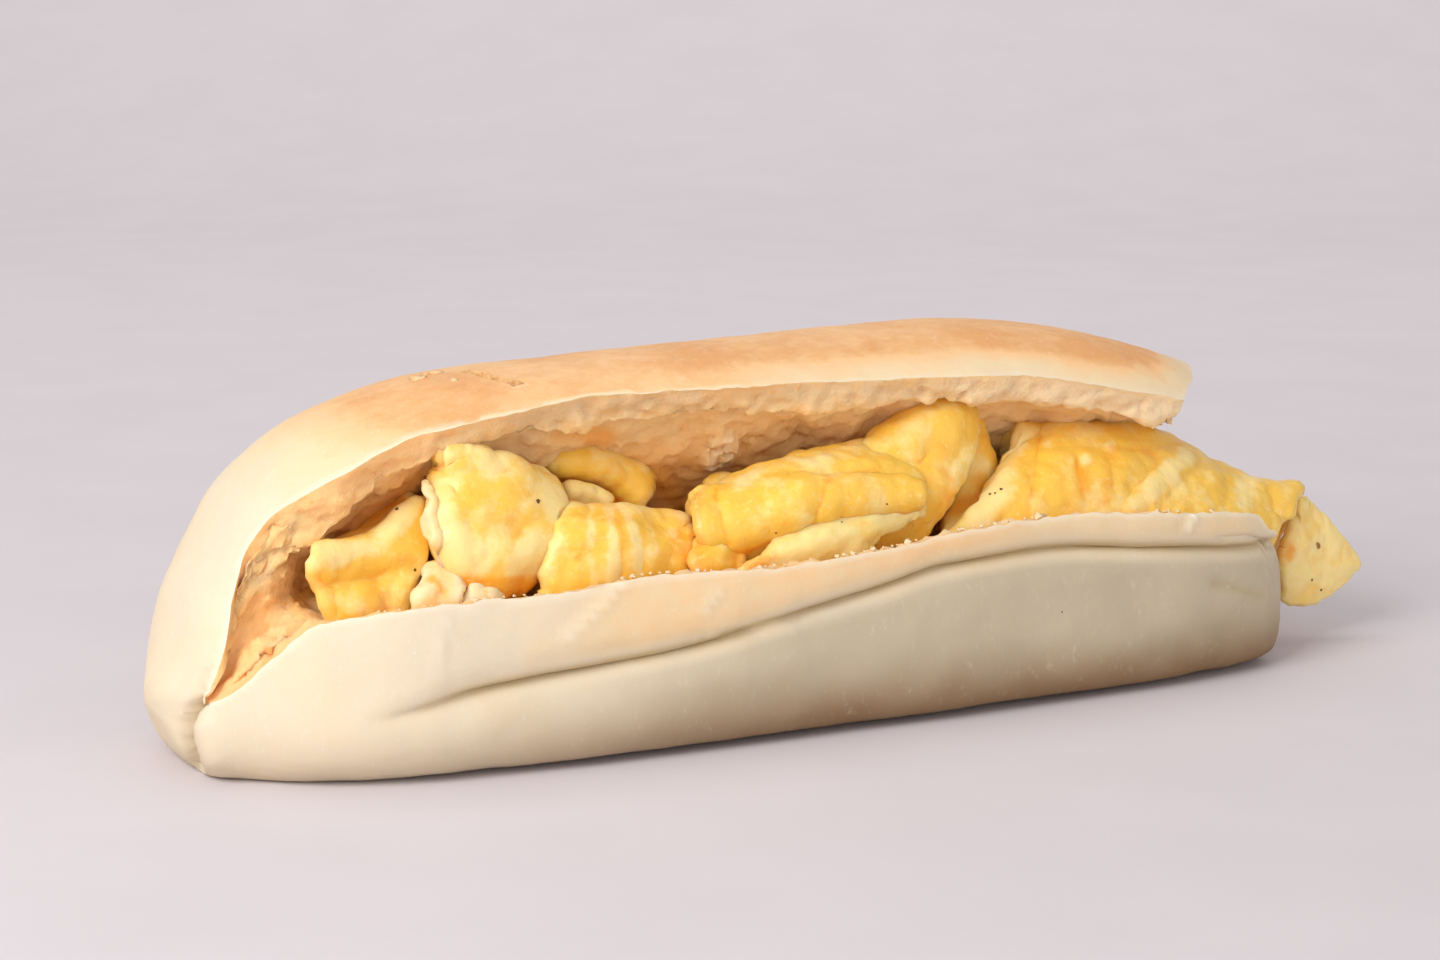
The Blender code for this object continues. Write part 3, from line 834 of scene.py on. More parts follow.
@dataclass(frozen=True)
class CrumbFinish:
    """Torn crumb: a pale smooth band at the cut edge and porous further in; the warmer colour
    further in is painted warm shade, as are its pores and the orange near the egg, and the thin
    left end has a painted glow.
    """

    band: Colour = (0.78, 0.55, 0.30)
    open: Colour = (0.93, 0.65, 0.33)
    # Colour of the painted warm shade deep inside the split.
    deep: Colour = (0.95, 0.57, 0.22)
    # Colour of the painted shade in the pores.
    pore_shade: Colour = (0.82, 0.40, 0.11)
    # Colour of the painted warm shade near the egg.
    warm_shade_tint: Colour = (0.95, 0.42, 0.06)
    # Colour of the painted glow of light through the thin crumb at the left end.
    thin: Colour = (0.95, 0.58, 0.26)
    tuft: Colour = (0.95, 0.76, 0.50)

    def build(self) -> bpy.types.Material:
        """Makes the material.

        Returns:
            The material.
        """
        n = Nodes("bread_crumb")
        colour = n.mix(n.span(n.mask("rim"), 2.0, 6.5), self.band, self.open)
        # Further from the crust, the crumb turns to painted warm shade.
        colour = n.mix(n.span(n.mask("rim"), 8.0, 26.0), colour, self.deep)
        # Painted glow at the thin left end.
        colour = n.mix(n.mask("thin"), colour, self.thin)
        patches = n.span(n.noise(5.5, 4, 0.6), 0.42, 0.68, 0, 0.5)
        colour = n.mix(patches, colour, self.deep)
        # Pores darkened as painted shade.
        holes = n.span(n.cells(1.7), 0.0, 0.42, 0.55, 0)
        holes = n.math("MULTIPLY", holes, n.span(n.noise(4, 2), 0.45, 0.6))
        colour = n.mix(holes, colour, self.pore_shade)
        # Painted warm shade near the egg.
        colour = n.mix(n.math("MULTIPLY", n.mask("painted_warm_shade"), 0.75), colour, self.warm_shade_tint)
        colour = n.mix(n.mask("torn"), colour, self.tuft)
        bump = n.bump(n.noise(2.4, 5, 0.65), 0.6, 0.8)
        bump = n.bump(n.noise(0.55, 4, 0.7), 0.5, 0.25, bump)
        bump = n.bump(holes, -0.6, 0.35, bump)
        return n.finish(colour, 0.85, bump, 0.35, (2.6, 1.7, 1.0), 0.12)


@dataclass(frozen=True)
class TornFinish:
    """The recess under the crust that is torn across the top."""

    open: Colour = (0.80, 0.50, 0.24)
    dark: Colour = (0.55, 0.28, 0.10)

    def build(self) -> bpy.types.Material:
        """Makes the material.

        Returns:
            The material.
        """
        n = Nodes("torn_crust")
        colour = n.mix(n.span(n.noise(1.6, 4, 0.6), 0.4, 0.65), self.open, self.dark)
        bump = n.bump(n.noise(0.8, 4, 0.7), 0.5, 0.3)
        return n.finish(colour, 0.8, bump, 0.1, (1.5, 0.9, 0.4), 0.2)


@dataclass(frozen=True)
class EggFinish:
    """Moist cooked egg: yellow with pale and orange parts and a soft sheen. The orange parts are
    mostly painted shade in folds and under edges; the pale parts are partly painted highlights on
    ridges.
    """

    name: str = "cooked_egg"
    yellow: Colour = (0.97, 0.565, 0.075)
    pale: Colour = (0.99, 0.73, 0.30)
    orange: Colour = (0.95, 0.38, 0.025)
    rim: Colour = (1.0, 0.70, 0.27)
    gloss: float = 0.4

    def build(self) -> bpy.types.Material:
        """Makes the material.

        Returns:
            The material.
        """
        n = Nodes(self.name)
        # Orange marks paint warm shade into folds and under edges; pale marks on ridges partly
        # paint highlights.
        pale = n.math("ADD", n.mask("pale"), n.span(n.noise(6.5, 4, 0.6), 0.35, 0.7, -0.4, 0.5))
        orange = n.math("ADD", n.mask("orange"), n.span(n.noise(8, 4, 0.6), 0.42, 0.72, -0.3, 0.4))
        colour = n.mix(n.span(pale, 0.0, 0.9), self.yellow, self.pale)
        colour = n.mix(n.span(orange, 0.0, 0.9), colour, self.orange)
        colour = n.mix(n.math("MULTIPLY", n.mask("edge"), 0.35), colour, self.rim)
        flecks = n.span(n.noise(1.2, 3, 0.6), 0.56, 0.72, 0, 0.4)
        colour = n.mix(flecks, colour, self.pale)
        bump = n.bump(n.noise(3.0, 4, 0.65), 0.5, 0.6)
        bump = n.bump(n.noise(0.8, 4, 0.65), 0.3, 0.15, bump)
        rough = n.span(n.noise(4, 3), 0.3, 0.7, self.gloss - 0.08, self.gloss + 0.1)
        return n.finish(colour, rough, bump, 0.45, (4.0, 2.0, 0.4), 0.42, 0.1)


@dataclass(frozen=True)
class PlainFinish:
    """A small piece of food of one kind, with a little variation in it."""

    name: str
    first: Colour
    second: Colour
    rough: float = 0.7
    size: float = 1.5

    def build(self) -> bpy.types.Material:
        """Makes the material.

        Returns:
            The material.
        """
        n = Nodes(self.name)
        colour = n.mix(n.span(n.noise(self.size, 3), 0.35, 0.65), self.first, self.second)
        bump = n.bump(n.noise(self.size * 0.6, 3), 0.4, 0.3)
        return n.finish(colour, self.rough, bump, 0.2, (2.0, 1.4, 0.8), 0.3)


def finished(obj: bpy.types.Object, slot: Slot, *nodes: str) -> bpy.types.Object:
    """Hands a piece to the frame.

    Args:
        obj: The piece, with its place in its mesh.
        slot: The record's slot of the piece; not used.
        nodes: Solids that it stands for.

    Returns:
        The same piece.
    """
    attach(obj, BODY)
    if nodes:
        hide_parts(*nodes)
    faces = sum(len(p.vertices) - 2 for p in obj.data.polygons)
    LOG.info("%s: %d triangles", obj.name, faces)
    return obj


@dataclass(frozen=True)
class View:
    """The camera that looks at the roll from its open front, a little above."""

    focal_length: float = 75.0
    sensor_width: float = 36.0
    azimuth: float = -27.0
    pitch: float = 10.3
    centre: Point = (-212.365, -415.445, 120.038)
    width: int = 1440
    height: int = 960

    def build(self) -> None:
        """Makes the camera and looks through it."""
        data = bpy.data.cameras.new("camera")
        data.lens = self.focal_length
        data.sensor_width = self.sensor_width
        data.clip_start = 0.01
        data.clip_end = 20
        camera = bpy.data.objects.new("camera", data)
        camera.location = placed(self.centre)
        camera.rotation_euler = (math.radians(90 - self.pitch), 0, math.radians(self.azimuth))
        bpy.context.scene.collection.objects.link(camera)
        bpy.context.scene.camera = camera

    def ray(self, x: float, y: float) -> tuple[Vector, Vector]:
        """Line of sight through a pixel of a 1440 by 960 frame.

        Args:
            x: Pixels from the left.
            y: Pixels from the top.

        Returns:
            The camera's place and the direction.
        """
        focal = self.focal_length / self.sensor_width * self.width
        turn = Euler((math.radians(90 - self.pitch), 0, math.radians(self.azimuth)))
        ray = Vector((x - self.width / 2, self.height / 2 - y, -focal)).normalized()
        ray.rotate(turn)
        return placed(self.centre), ray

    def pixels(self, points: np.ndarray) -> tuple[np.ndarray, np.ndarray]:
        """Pixels of a 1440 by 960 frame at which the camera sees points.

        Args:
            points: Rows of (x, y, z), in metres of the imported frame.

        Returns:
            Pixels from the left and from the top.
        """
        focal = self.focal_length / self.sensor_width * self.width
        turn = Euler((math.radians(90 - self.pitch), 0, math.radians(self.azimuth)))
        local = (points - np.array(placed(self.centre))) @ np.array(turn.to_matrix())
        xs, ys = (focal * local[:, k] / -local[:, 2] for k in (0, 1))
        return self.width / 2 + xs, self.height / 2 - ys

    def towards(self, points: np.ndarray, outward: np.ndarray) -> np.ndarray:
        """How far surfaces face the camera, from 0 to 1.

        Args:
            points: Rows of (x, y, z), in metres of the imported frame.
            outward: The surface's normals there.

        Returns:
            0 where a surface faces away, 1 where it clearly faces the camera.
        """
        way = np.array(placed(self.centre)) - points
        way /= np.linalg.norm(way, axis=1)[:, None]
        t = np.clip((np.sum(way * outward, axis=1) + 0.1) / 0.4, 0, 1)
        return t * t * (3 - 2 * t)


VIEW = View()


@dataclass(frozen=True)
class Mark:
    """A soft line or spot, where the camera sees it: a ridge, a dent or a tint. Its orange tint
    paints shade into dents and folds; its pale tint on ridges partly paints a highlight.
    """

    line: tuple[tuple[float, float], ...]
    width: float
    lift: float = 0.0
    pale: float = 0.0
    orange: float = 0.0

    def at(self, xs: np.ndarray, ys: np.ndarray) -> np.ndarray:
        """Strength of the mark at pixels, from 0 to 1.

        Args:
            xs: Pixels from the left.
            ys: Pixels from the top.

        Returns:
            The strengths.
        """
        line = self.line if len(self.line) > 1 else self.line * 2
        near = np.full(np.shape(xs), np.inf)
        for (ax, ay), (bx, by) in zip(line, line[1:]):
            dx, dy = bx - ax, by - ay
            share = ((xs - ax) * dx + (ys - ay) * dy) / max(dx * dx + dy * dy, 1e-9)
            share = np.clip(share, 0, 1)
            near = np.minimum(near, np.hypot(xs - ax - share * dx, ys - ay - share * dy))
        return np.exp(-(near / self.width) ** 2)


@dataclass
class BreadRoll:
    """The split roll, with its crust, fold, creases, torn crumb and tear."""

    shape: RollShape = SHAPE
    spacing: float = 1.15
    mouth_spacing: float = 0.78
    # Dents and ridges of the crust; the orange share of a dent darkens it as painted shade.
    marks: tuple[Mark, ...] = (
        Mark(((204, 698), (193, 709), (187, 724), (187, 742), (196, 768)), 4.5, -2.6, 0, 0.55),
        Mark(((206, 728), (214, 758)), 12, 1.0), Mark(((164, 690),), 18, 0.8),
        Mark(((208, 699), (222, 687), (238, 667)), 3, -0.4, 0, 0.25),
        Mark(((203, 690), (206, 670)), 3, -0.3, 0, 0.2),
        Mark(((1218, 584), (1240, 589), (1262, 597)), 5, -0.8, 0, 0.35),
        Mark(((1221, 540), (1250, 538), (1281, 547)), 2.6, -0.9, 0.5, 0.1),
        Mark(((445, 622), (438, 650), (436, 680)), 3, 0.35, 0.3),
        Mark(((625, 577), (604, 604), (566, 640)), 3.4, 0.4, 0.3),
        Mark(((612, 580), (590, 604), (556, 632)), 3, -0.3),
        Mark(((721, 590), (702, 612)), 3, 0.35, 0.3),
        Mark(((1196, 512), (1188, 530)), 3, 0.5, 0.6), Mark(((1190, 512), (1180, 532)), 3, -0.4))
    tear_line: tuple[Point, ...] = ((-46, 15, 56), (-44.5, 2, 57.5), (-41.5, -6, 55.5),
                                    (-37.5, -12.5, 50.5))
    torn_end: Line = Line((43, 74.2), (46, 75.6), (49, 79.4), (53, 80.0), (60, 78.0))
    torn_end_turn: float = 24.0
    tuft: Mark = Mark(((710, 463), (716, 447), (729, 441), (724, 459)), 9)
    # Places where the crumb takes painted warm shade from the egg beside it.
    warm_shade_marks: tuple[Mark, ...] = (
        Mark(((345, 540), (385, 512), (420, 478)), 17), Mark(((562, 432), (606, 436)), 9),
        Mark(((655, 478), (690, 512)), 14), Mark(((330, 560), (300, 600)), 12),
        Mark(((985, 500), (1000, 450)), 12))
    tear_width: float = 3.2
    tear_depth: float = 1.6
    tear_steps: int = 24
    wall_points: int = 132
    wall_rounds: int = 4
    torn_end_heights: tuple[float, float, float] = (33, 70, 0.8)
    torn_end_runs: tuple[float, float, float] = (-60, 100, 1.2)
    torn_end_corners: tuple[float, float] = (98.8, -60)
    torn_end_out: float = 150.0
    sharp_angle: float = 48.0

    def stations(self, start: float, end: float, spacing: float, tight: float) -> list[float]:
        """X values from start to end, closer together near both ends.

        Args:
            start: First value.
            end: Last value.
            spacing: Step in the middle.
            tight: Share of the step that is lost at the ends.

        Returns:
            The values.
        """
        values, x = [start], start
        while x < end - spacing * 0.4:
            near = min(x - start, end - x)
            x += spacing * (1 - tight * (1 - ease(0, 12, near)))
            values.append(min(x, end))
        values[-1] = end
        return values

    def body(self) -> bpy.types.Mesh:
        """The whole roll before it is split.

        Returns:
            The mesh.
        """
        shape = self.shape
        xs = self.stations(shape.left, shape.right, self.spacing, 0.7)[1:-1]
        rings = [shape.ring(x) for x in xs]
        poles = []
        for x in (shape.left, shape.right):
            middle, waist = shape.section(x)[:2]
            poles.append((x, middle, waist))
        mesh = loft("bread_roll", rings, poles)
        push(mesh, lambda p, i: 0.45 * grain(p, 24) + 0.16 * grain(p, 6, 3)
             + 0.06 * grain(p, 1.8, 5) if p.z > 0.2 else 0.0)
        return mesh

    def mouth(self) -> bpy.types.Mesh:
        """The space that splits the roll, with torn walls.

        Returns:
            The mesh.
        """
        shape = self.shape
        places = self.stations(shape.mouth_left, shape.mouth_right, self.mouth_spacing, 0.5)
        return loft("mouth", [self.mouth_ring(x) for x in places])

    def mouth_ring(self, x: float) -> np.ndarray:
        """One ring of the split's walls, with its crumb torn and its edges ragged.

        Args:
            x: Place along the roll.

        Returns:
            An array of (x, y, z) rows.
        """
        shape = self.shape
        corners = shape.mouth_outline(x)
        steps = np.linalg.norm(np.diff(corners, axis=0), axis=1)
        run = np.concatenate([[0], np.cumsum(steps)])
        inner = np.linspace(run[1] - 2.0, run[-2] + 2.0, self.wall_points)
        places = np.concatenate([[0], inner, [run[-1]]])
        ring = np.stack([np.interp(places, run, corners[:, k]) for k in range(2)], 1)
        lip_at, edge_at = run[1], run[-2]
        inside = np.array([ease(0.3, 3.0, min(s - lip_at, edge_at - s)) for s in places])
        for _ in range(self.wall_rounds):
            mean = (ring[:-2] + ring[2:]) / 2
            ring[1:-1] += (mean - ring[1:-1]) * 0.5 * inside[1:-1, None]
        tangent = np.gradient(ring, axis=0)
        tangent /= np.maximum(np.linalg.norm(tangent, axis=1), 1e-6)[:, None]
        outward = np.stack([tangent[:, 1], -tangent[:, 0]], 1)
        fade = ease(shape.mouth_left, shape.mouth_left + 7, x)
        points = []
        for k, (y, z) in enumerate(ring):
            p = Vector((x, y, z))
            near = min(edge_at - places[k], places[k] - lip_at)
            deep = ease(0.4, 5.0, near) * fade
            edge = ease(-3.0, -0.5, near) * fade
            move = deep * (1.5 * grain(p, 9) + 0.9 * grain(p, 4, 2) + 0.5 * grain(p, 1.9, 4))
            ragged = edge * (0.4 * grain(p, 5, 6) + 0.42 * grain(p, 1.9, 7))
            points.append((x, y + outward[k][0] * move, z + outward[k][1] * move + ragged))
        return np.array(points)

    def tear(self) -> bpy.types.Mesh:
        """A tapered bar that opens the crust across the top.

        Returns:
            The mesh.
        """
        rings = []
        line = [Vector(p) for p in self.tear_line]
        count = self.tear_steps
        for i in range(count + 1):
            t = i / count * (len(line) - 1)
            k = min(int(t), len(line) - 2)
            p = line[k].lerp(line[k + 1], t - k)
            share = math.sin(math.pi * (i + 0.6) / (count + 1.2)) ** 0.5
            width = self.tear_width * share * (1 + 0.3 * grain(p, 3)) / 2
            p.x += 0.6 * grain(p, 4, 3)
            rings.append(np.array([(p.x - width * 0.5, p.y, p.z - self.tear_depth * share),
                                   (p.x + width * 0.6, p.y, p.z - self.tear_depth * share),
                                   (p.x + width, p.y, p.z + 2), (p.x - width, p.y, p.z + 2)]))
        return loft("tear", rings)

    def end_tear(self) -> bpy.types.Mesh:
        """What is torn off the right end of the upper half.

        Returns:
            The mesh.
        """
        turn = math.radians(self.torn_end_turn)
        side = Vector((math.cos(turn), -math.sin(turn)))
        deep = Vector((math.sin(turn), math.cos(turn)))
        rings = []
        for z in np.arange(*self.torn_end_heights):
            reach = self.torn_end.at(z)
            face = []
            for run in np.arange(*self.torn_end_runs):
                p = Vector((run, 0, z))
                out = reach + 1.1 * grain(p, 5, 31) + 0.6 * grain(p, 1.8, 32)
                face.append((*(side * out + deep * run), z))
            corners = [(*(side * self.torn_end_out + deep * run), z)
                       for run in self.torn_end_corners]
            rings.append(np.array([*face, *corners]))
        return loft("torn_end", rings)

    def build(self, crust: bpy.types.Material, crumb: bpy.types.Material,
              torn: bpy.types.Material) -> bpy.types.Object:
        """Makes the roll.

        Args:
            crust: Finish of the outside.
            crumb: Finish of the split's walls.
            torn: Finish of the tear.

        Returns:
            The roll as one piece.
        """
        roll = add_object("bread_roll_baked", self.body())
        roll.data.materials.append(crust)
        for mesh, material in ((self.mouth(), crumb), (self.end_tear(), crumb),
                               (self.tear(), torn)):
            mesh.materials.append(material)
            cut_away(roll, add_object(mesh.name + "_tool", mesh))
        self.dress(roll)
        shade(roll, self.sharp_angle)
        return finished(roll, Slot.BREAD, "bread_roll")

    @staticmethod
    def sides(mesh: bpy.types.Mesh) -> tuple[np.ndarray, np.ndarray]:
        """Which vertices touch crumb and which touch crust.

        Args:
            mesh: The split roll's mesh.

        Returns:
            Two arrays of true and false, for crumb and for crust.
        """
        crumb_index = [m.name for m in mesh.materials].index("bread_crumb")
        on_crumb = np.zeros(len(mesh.vertices), bool)
        on_crust = np.zeros(len(mesh.vertices), bool)
        for face in mesh.polygons:
            target = on_crumb if face.material_index == crumb_index else on_crust
            target[list(face.vertices)] = True
        return on_crumb, on_crust

    @staticmethod
    def rim_distance(rows: np.ndarray, on_rim: np.ndarray) -> np.ndarray:
        """Distance of each vertex from the edge between crust and crumb.

        Args:
            rows: Places of the vertices, in metres.
            on_rim: Which of them lie on that edge.

        Returns:
            The distances in millimetres.
        """
        rim_rows = np.nonzero(on_rim)[0]
        tree = kdtree.KDTree(len(rim_rows))
        for k, i in enumerate(rim_rows):
            tree.insert(Vector(rows[i]), k)
        tree.balance()
        return np.array([tree.find(Vector(row))[2] / MM for row in rows])

    @staticmethod
    def crumb_relief(p: Vector, rim: float, tufted: float) -> float:
        """Relief of the crumb: rough, with pores and a raised tuft.

        Args:
            p: Place in the own frame.
            rim: Distance from the crust in millimetres.
            tufted: Strength of the tuft there.

        Returns:
            Millimetres outwards.
        """
        fade = ease(0.2, 2.0, rim)
        hole = ease(0.15, 0.7, pits(p, 2.6)) * ease(-0.1, 0.35, grain(p, 6, 12))
        rough = 0.5 * grain(p, 2.4, 10) + 0.42 * grain(p, 1.2, 11) + 0.15 * grain(p, 0.8, 13)
        lifted = 0.8 * tufted * (1 + 2.0 * grain(p, 1.3, 14))
        return fade * (rough - 0.9 * hole + lifted)

    def crust_masks(self, points: Sequence[Vector], outward: np.ndarray, rim: np.ndarray,
                    inside: np.ndarray) -> dict[str, np.ndarray]:
        """How baked the crust is, its browned base with painted shade low on the right, its pale
        torn edge with a painted highlight at the upper left, and the painted shade in the crease
        and under the fold.

        Args:
            points: Places of the vertices in the own frame.
            outward: Their normals.
            rim: Their distances from the edge of the crust.
            inside: Which of them are crumb alone, and are left at 0.

        Returns:
            The masks by name.
        """
        shape = self.shape
        names = ("toast", "browned_and_shade", "crease", "torn", "painted_shade")
        masks = {name: np.zeros(len(points)) for name in names}
        toast, browned_and_shade, crease, torn, painted_shade = masks.values()
        for i, p in enumerate(points):
            if inside[i]:
                continue
            crown = ease(37, 53, p.z + 2.0 * grain(p, 16, 21)) * ease(0.1, 0.75, outward[i][2])
            left_fade = 0.45 + 0.55 * ease(-82, -58, p.x)
            side = 0.16 * ease(0.1, -0.6, outward[i][1]) * ease(18, 30, p.z)
            toast[i] = crown * left_fade * 0.86 + side * ease(-60, 20, p.x)
            behind = ease(5, 25, p.y)
            toast[i] = max(toast[i], behind * ease(18, 44, p.z) * 0.72)
            height = p.z + 1.6 * grain(p, 7, 22)
            # Baked brown at the base; its growth towards the right end is painted shade.
            browned_and_shade[i] = ease(14, 1.0, height) * (0.2 + 0.76 * ease(-80, 10, p.x))
            off = p.z - shape.fold.at(p.x)
            if p.y < 0:
                lip_band = ease(0.5, 3.0, off) * ease(40, 34, p.z) * ease(-55, -25, p.x)
                toast[i] += lip_band * (0.42 - 0.22 * ease(10, 50, p.x))
                # Painted shade along the fold's crease.
                line = math.exp(-((off + 0.1) / 0.9) ** 2)
                crease[i] = line * ease(*shape.fold_fade, p.x) * 0.75
            # Pale along the crust's cut edge: the torn lip is paler, and the strong share at the
            # upper left end is a painted highlight.
            torn[i] = (0.5 if p.z < 33 or p.x < -50 else 0.15) * ease(1.0, 0.2, rim[i])
            # Painted shade on the crust below the fold, stronger towards the right end.
            painted_shade[i] = ease(-75, 5, p.x) * ease(-1.0, -3.5, off) * (0.8 + 0.3 * grain(p, 20, 25))
            near_cut = ease(9, 1, rim[i]) * ease(-40, 25, p.x) * ease(38, 44, p.z)
            toast[i] *= 1 - 0.65 * near_cut
        return masks

    def dress(self, roll: bpy.types.Object) -> None:
        """Roughens the crumb, lifts the marks, flattens the base and stores the masks.

        Args:
            roll: The split roll.
        """
        mesh = roll.data
        on_crumb, on_crust = self.sides(mesh)
        inside = on_crumb & ~on_crust
        rows = coordinates(mesh)
        rim = self.rim_distance(rows, on_crumb & on_crust)
        points = [own(Vector(row)) for row in rows]
        front = VIEW.towards(rows, normals(mesh)) * (on_crust & (rim > 0.3))
        pixels = VIEW.pixels(rows)
        strengths = [mark.at(*pixels) * front for mark in self.marks]
        lifts = sum(mark.lift * s for mark, s in zip(self.marks, strengths))
        tuft = self.tuft.at(*pixels)
        tufted = np.where(tuft > 0.35, tuft, 0) * inside
        painted_warm_shade = np.max([mark.at(*pixels) for mark in self.warm_shade_marks], axis=0)
        push(mesh, lambda p, i: lifts[i])
        push(mesh, lambda p, i: self.crumb_relief(p, rim[i], tufted[i]) if inside[i] else 0.0)
        resting = coordinates(mesh)
        resting[:, 2] = np.maximum(resting[:, 2], 0)
        set_coordinates(mesh, resting)
        masks = self.crust_masks(points, normals(mesh), rim, inside)
        # The orange shares of the marks add painted shade in their dents.
        masks["crease"] += sum(mark.orange * s for mark, s in zip(self.marks, strengths))
        masks["torn"] += sum(mark.pale * s for mark, s in zip(self.marks, strengths))
        own_x = np.array([p.x for p in points])
        right = np.clip((own_x - 5) / 60, 0, 1) * np.clip((9 - rim) / 5, 0, 1) * 0.6
        masks["torn"] = np.where(inside, np.maximum(tufted * 0.8, right), masks["torn"])
        # Painted glow where the crumb is thin, at the left end.
        masks["thin"] = np.clip((-42 - own_x) / 18, 0, 1) * np.clip((12 - rim) / 7, 0, 1) * inside
        # Painted warm shade near the egg, away from the crust.
        masks["painted_warm_shade"] = painted_warm_shade * np.clip((rim - 5) / 6, 0, 1)
        masks["rim"] = rim
        for name, values in masks.items():
            set_mask(mesh, name, values)


def along(points: Sequence[Vector], t: float) -> Vector:
    """Point at share t of a smooth line through points.

    Args:
        points: Two or more points.
        t: Share of the way, from 0 to 1.

    Returns:
        The point there.
    """
    count = len(points) - 1
    u = min(max(t, 0.0), 1.0) * count
    i = min(int(u), count - 1)
    f = u - i
    p = [Vector(points[min(max(k, 0), count)]) for k in (i - 1, i, i + 1, i + 2)]
    if i == 0:
        p[0] = 2 * p[1] - p[2]
    if i == count - 1:
        p[3] = 2 * p[2] - p[1]
    half = (p[2] - p[0]) * f + (2 * p[0] - 5 * p[1] + 4 * p[2] - p[3]) * f * f
    half += (3 * p[1] - p[0] - 3 * p[2] + p[3]) * f ** 3
    return p[1] + half / 2


Rails = tuple[tuple[Point, ...], ...]


def seen(*places: Point) -> tuple[Point, ...]:
    """Points of the own frame that the camera sees at these pixels.

    Args:
        places: Pixel x, pixel y and the point's own y in millimetres.

    Returns:
        The points in millimetres.
    """
    points = []
    for x, y, depth in places:
        start, way = VIEW.ray(x, y)
        start = own(start)
        points.append(tuple(start + way * ((depth - start.y) / way.y)))
    return tuple(points)


def shifted(rail: tuple[Point, ...], way: Point, share: float = 1.0) -> tuple[Point, ...]:
    """A rail moved by a share of a way."""
    return tuple(tuple(Vector(p) + Vector(way) * share) for p in rail)


def draped(*rails: tuple[Point, ...], hem: Point = (0, 2.0, -5.0),
           back: Point = (0.5, 7.0, -12.0)) -> Rails:
    """Rails of a sheet that hangs over its last rail.

    Args:
        rails: Rails from the bottom to the crest.
        hem: From the first rail to the hidden hem below it.
        back: From the crest to the hidden hem behind it.

    Returns:
        All rails, from the front hem to the back hem.
    """
    over = shifted(rails[-1], (back[0], back[1], back[2] * 0.35), 0.5)
    return (shifted(rails[0], hem), *rails, over, shifted(rails[-1], back))


def softened(values: np.ndarray, rounds: int) -> np.ndarray:
    """A grid of values, blurred by one cell each round.

    Args:
        values: The grid.
        rounds: How many times it is blurred.

    Returns:
        The blurred grid.
    """
    for _ in range(rounds):
        padded = np.pad(values, 1, mode="edge")
        beside = padded[1:-1, :-2] + padded[1:-1, 2:] + padded[:-2, 1:-1] + padded[2:, 1:-1]
        values = values * 0.5 + beside * 0.125
    return values


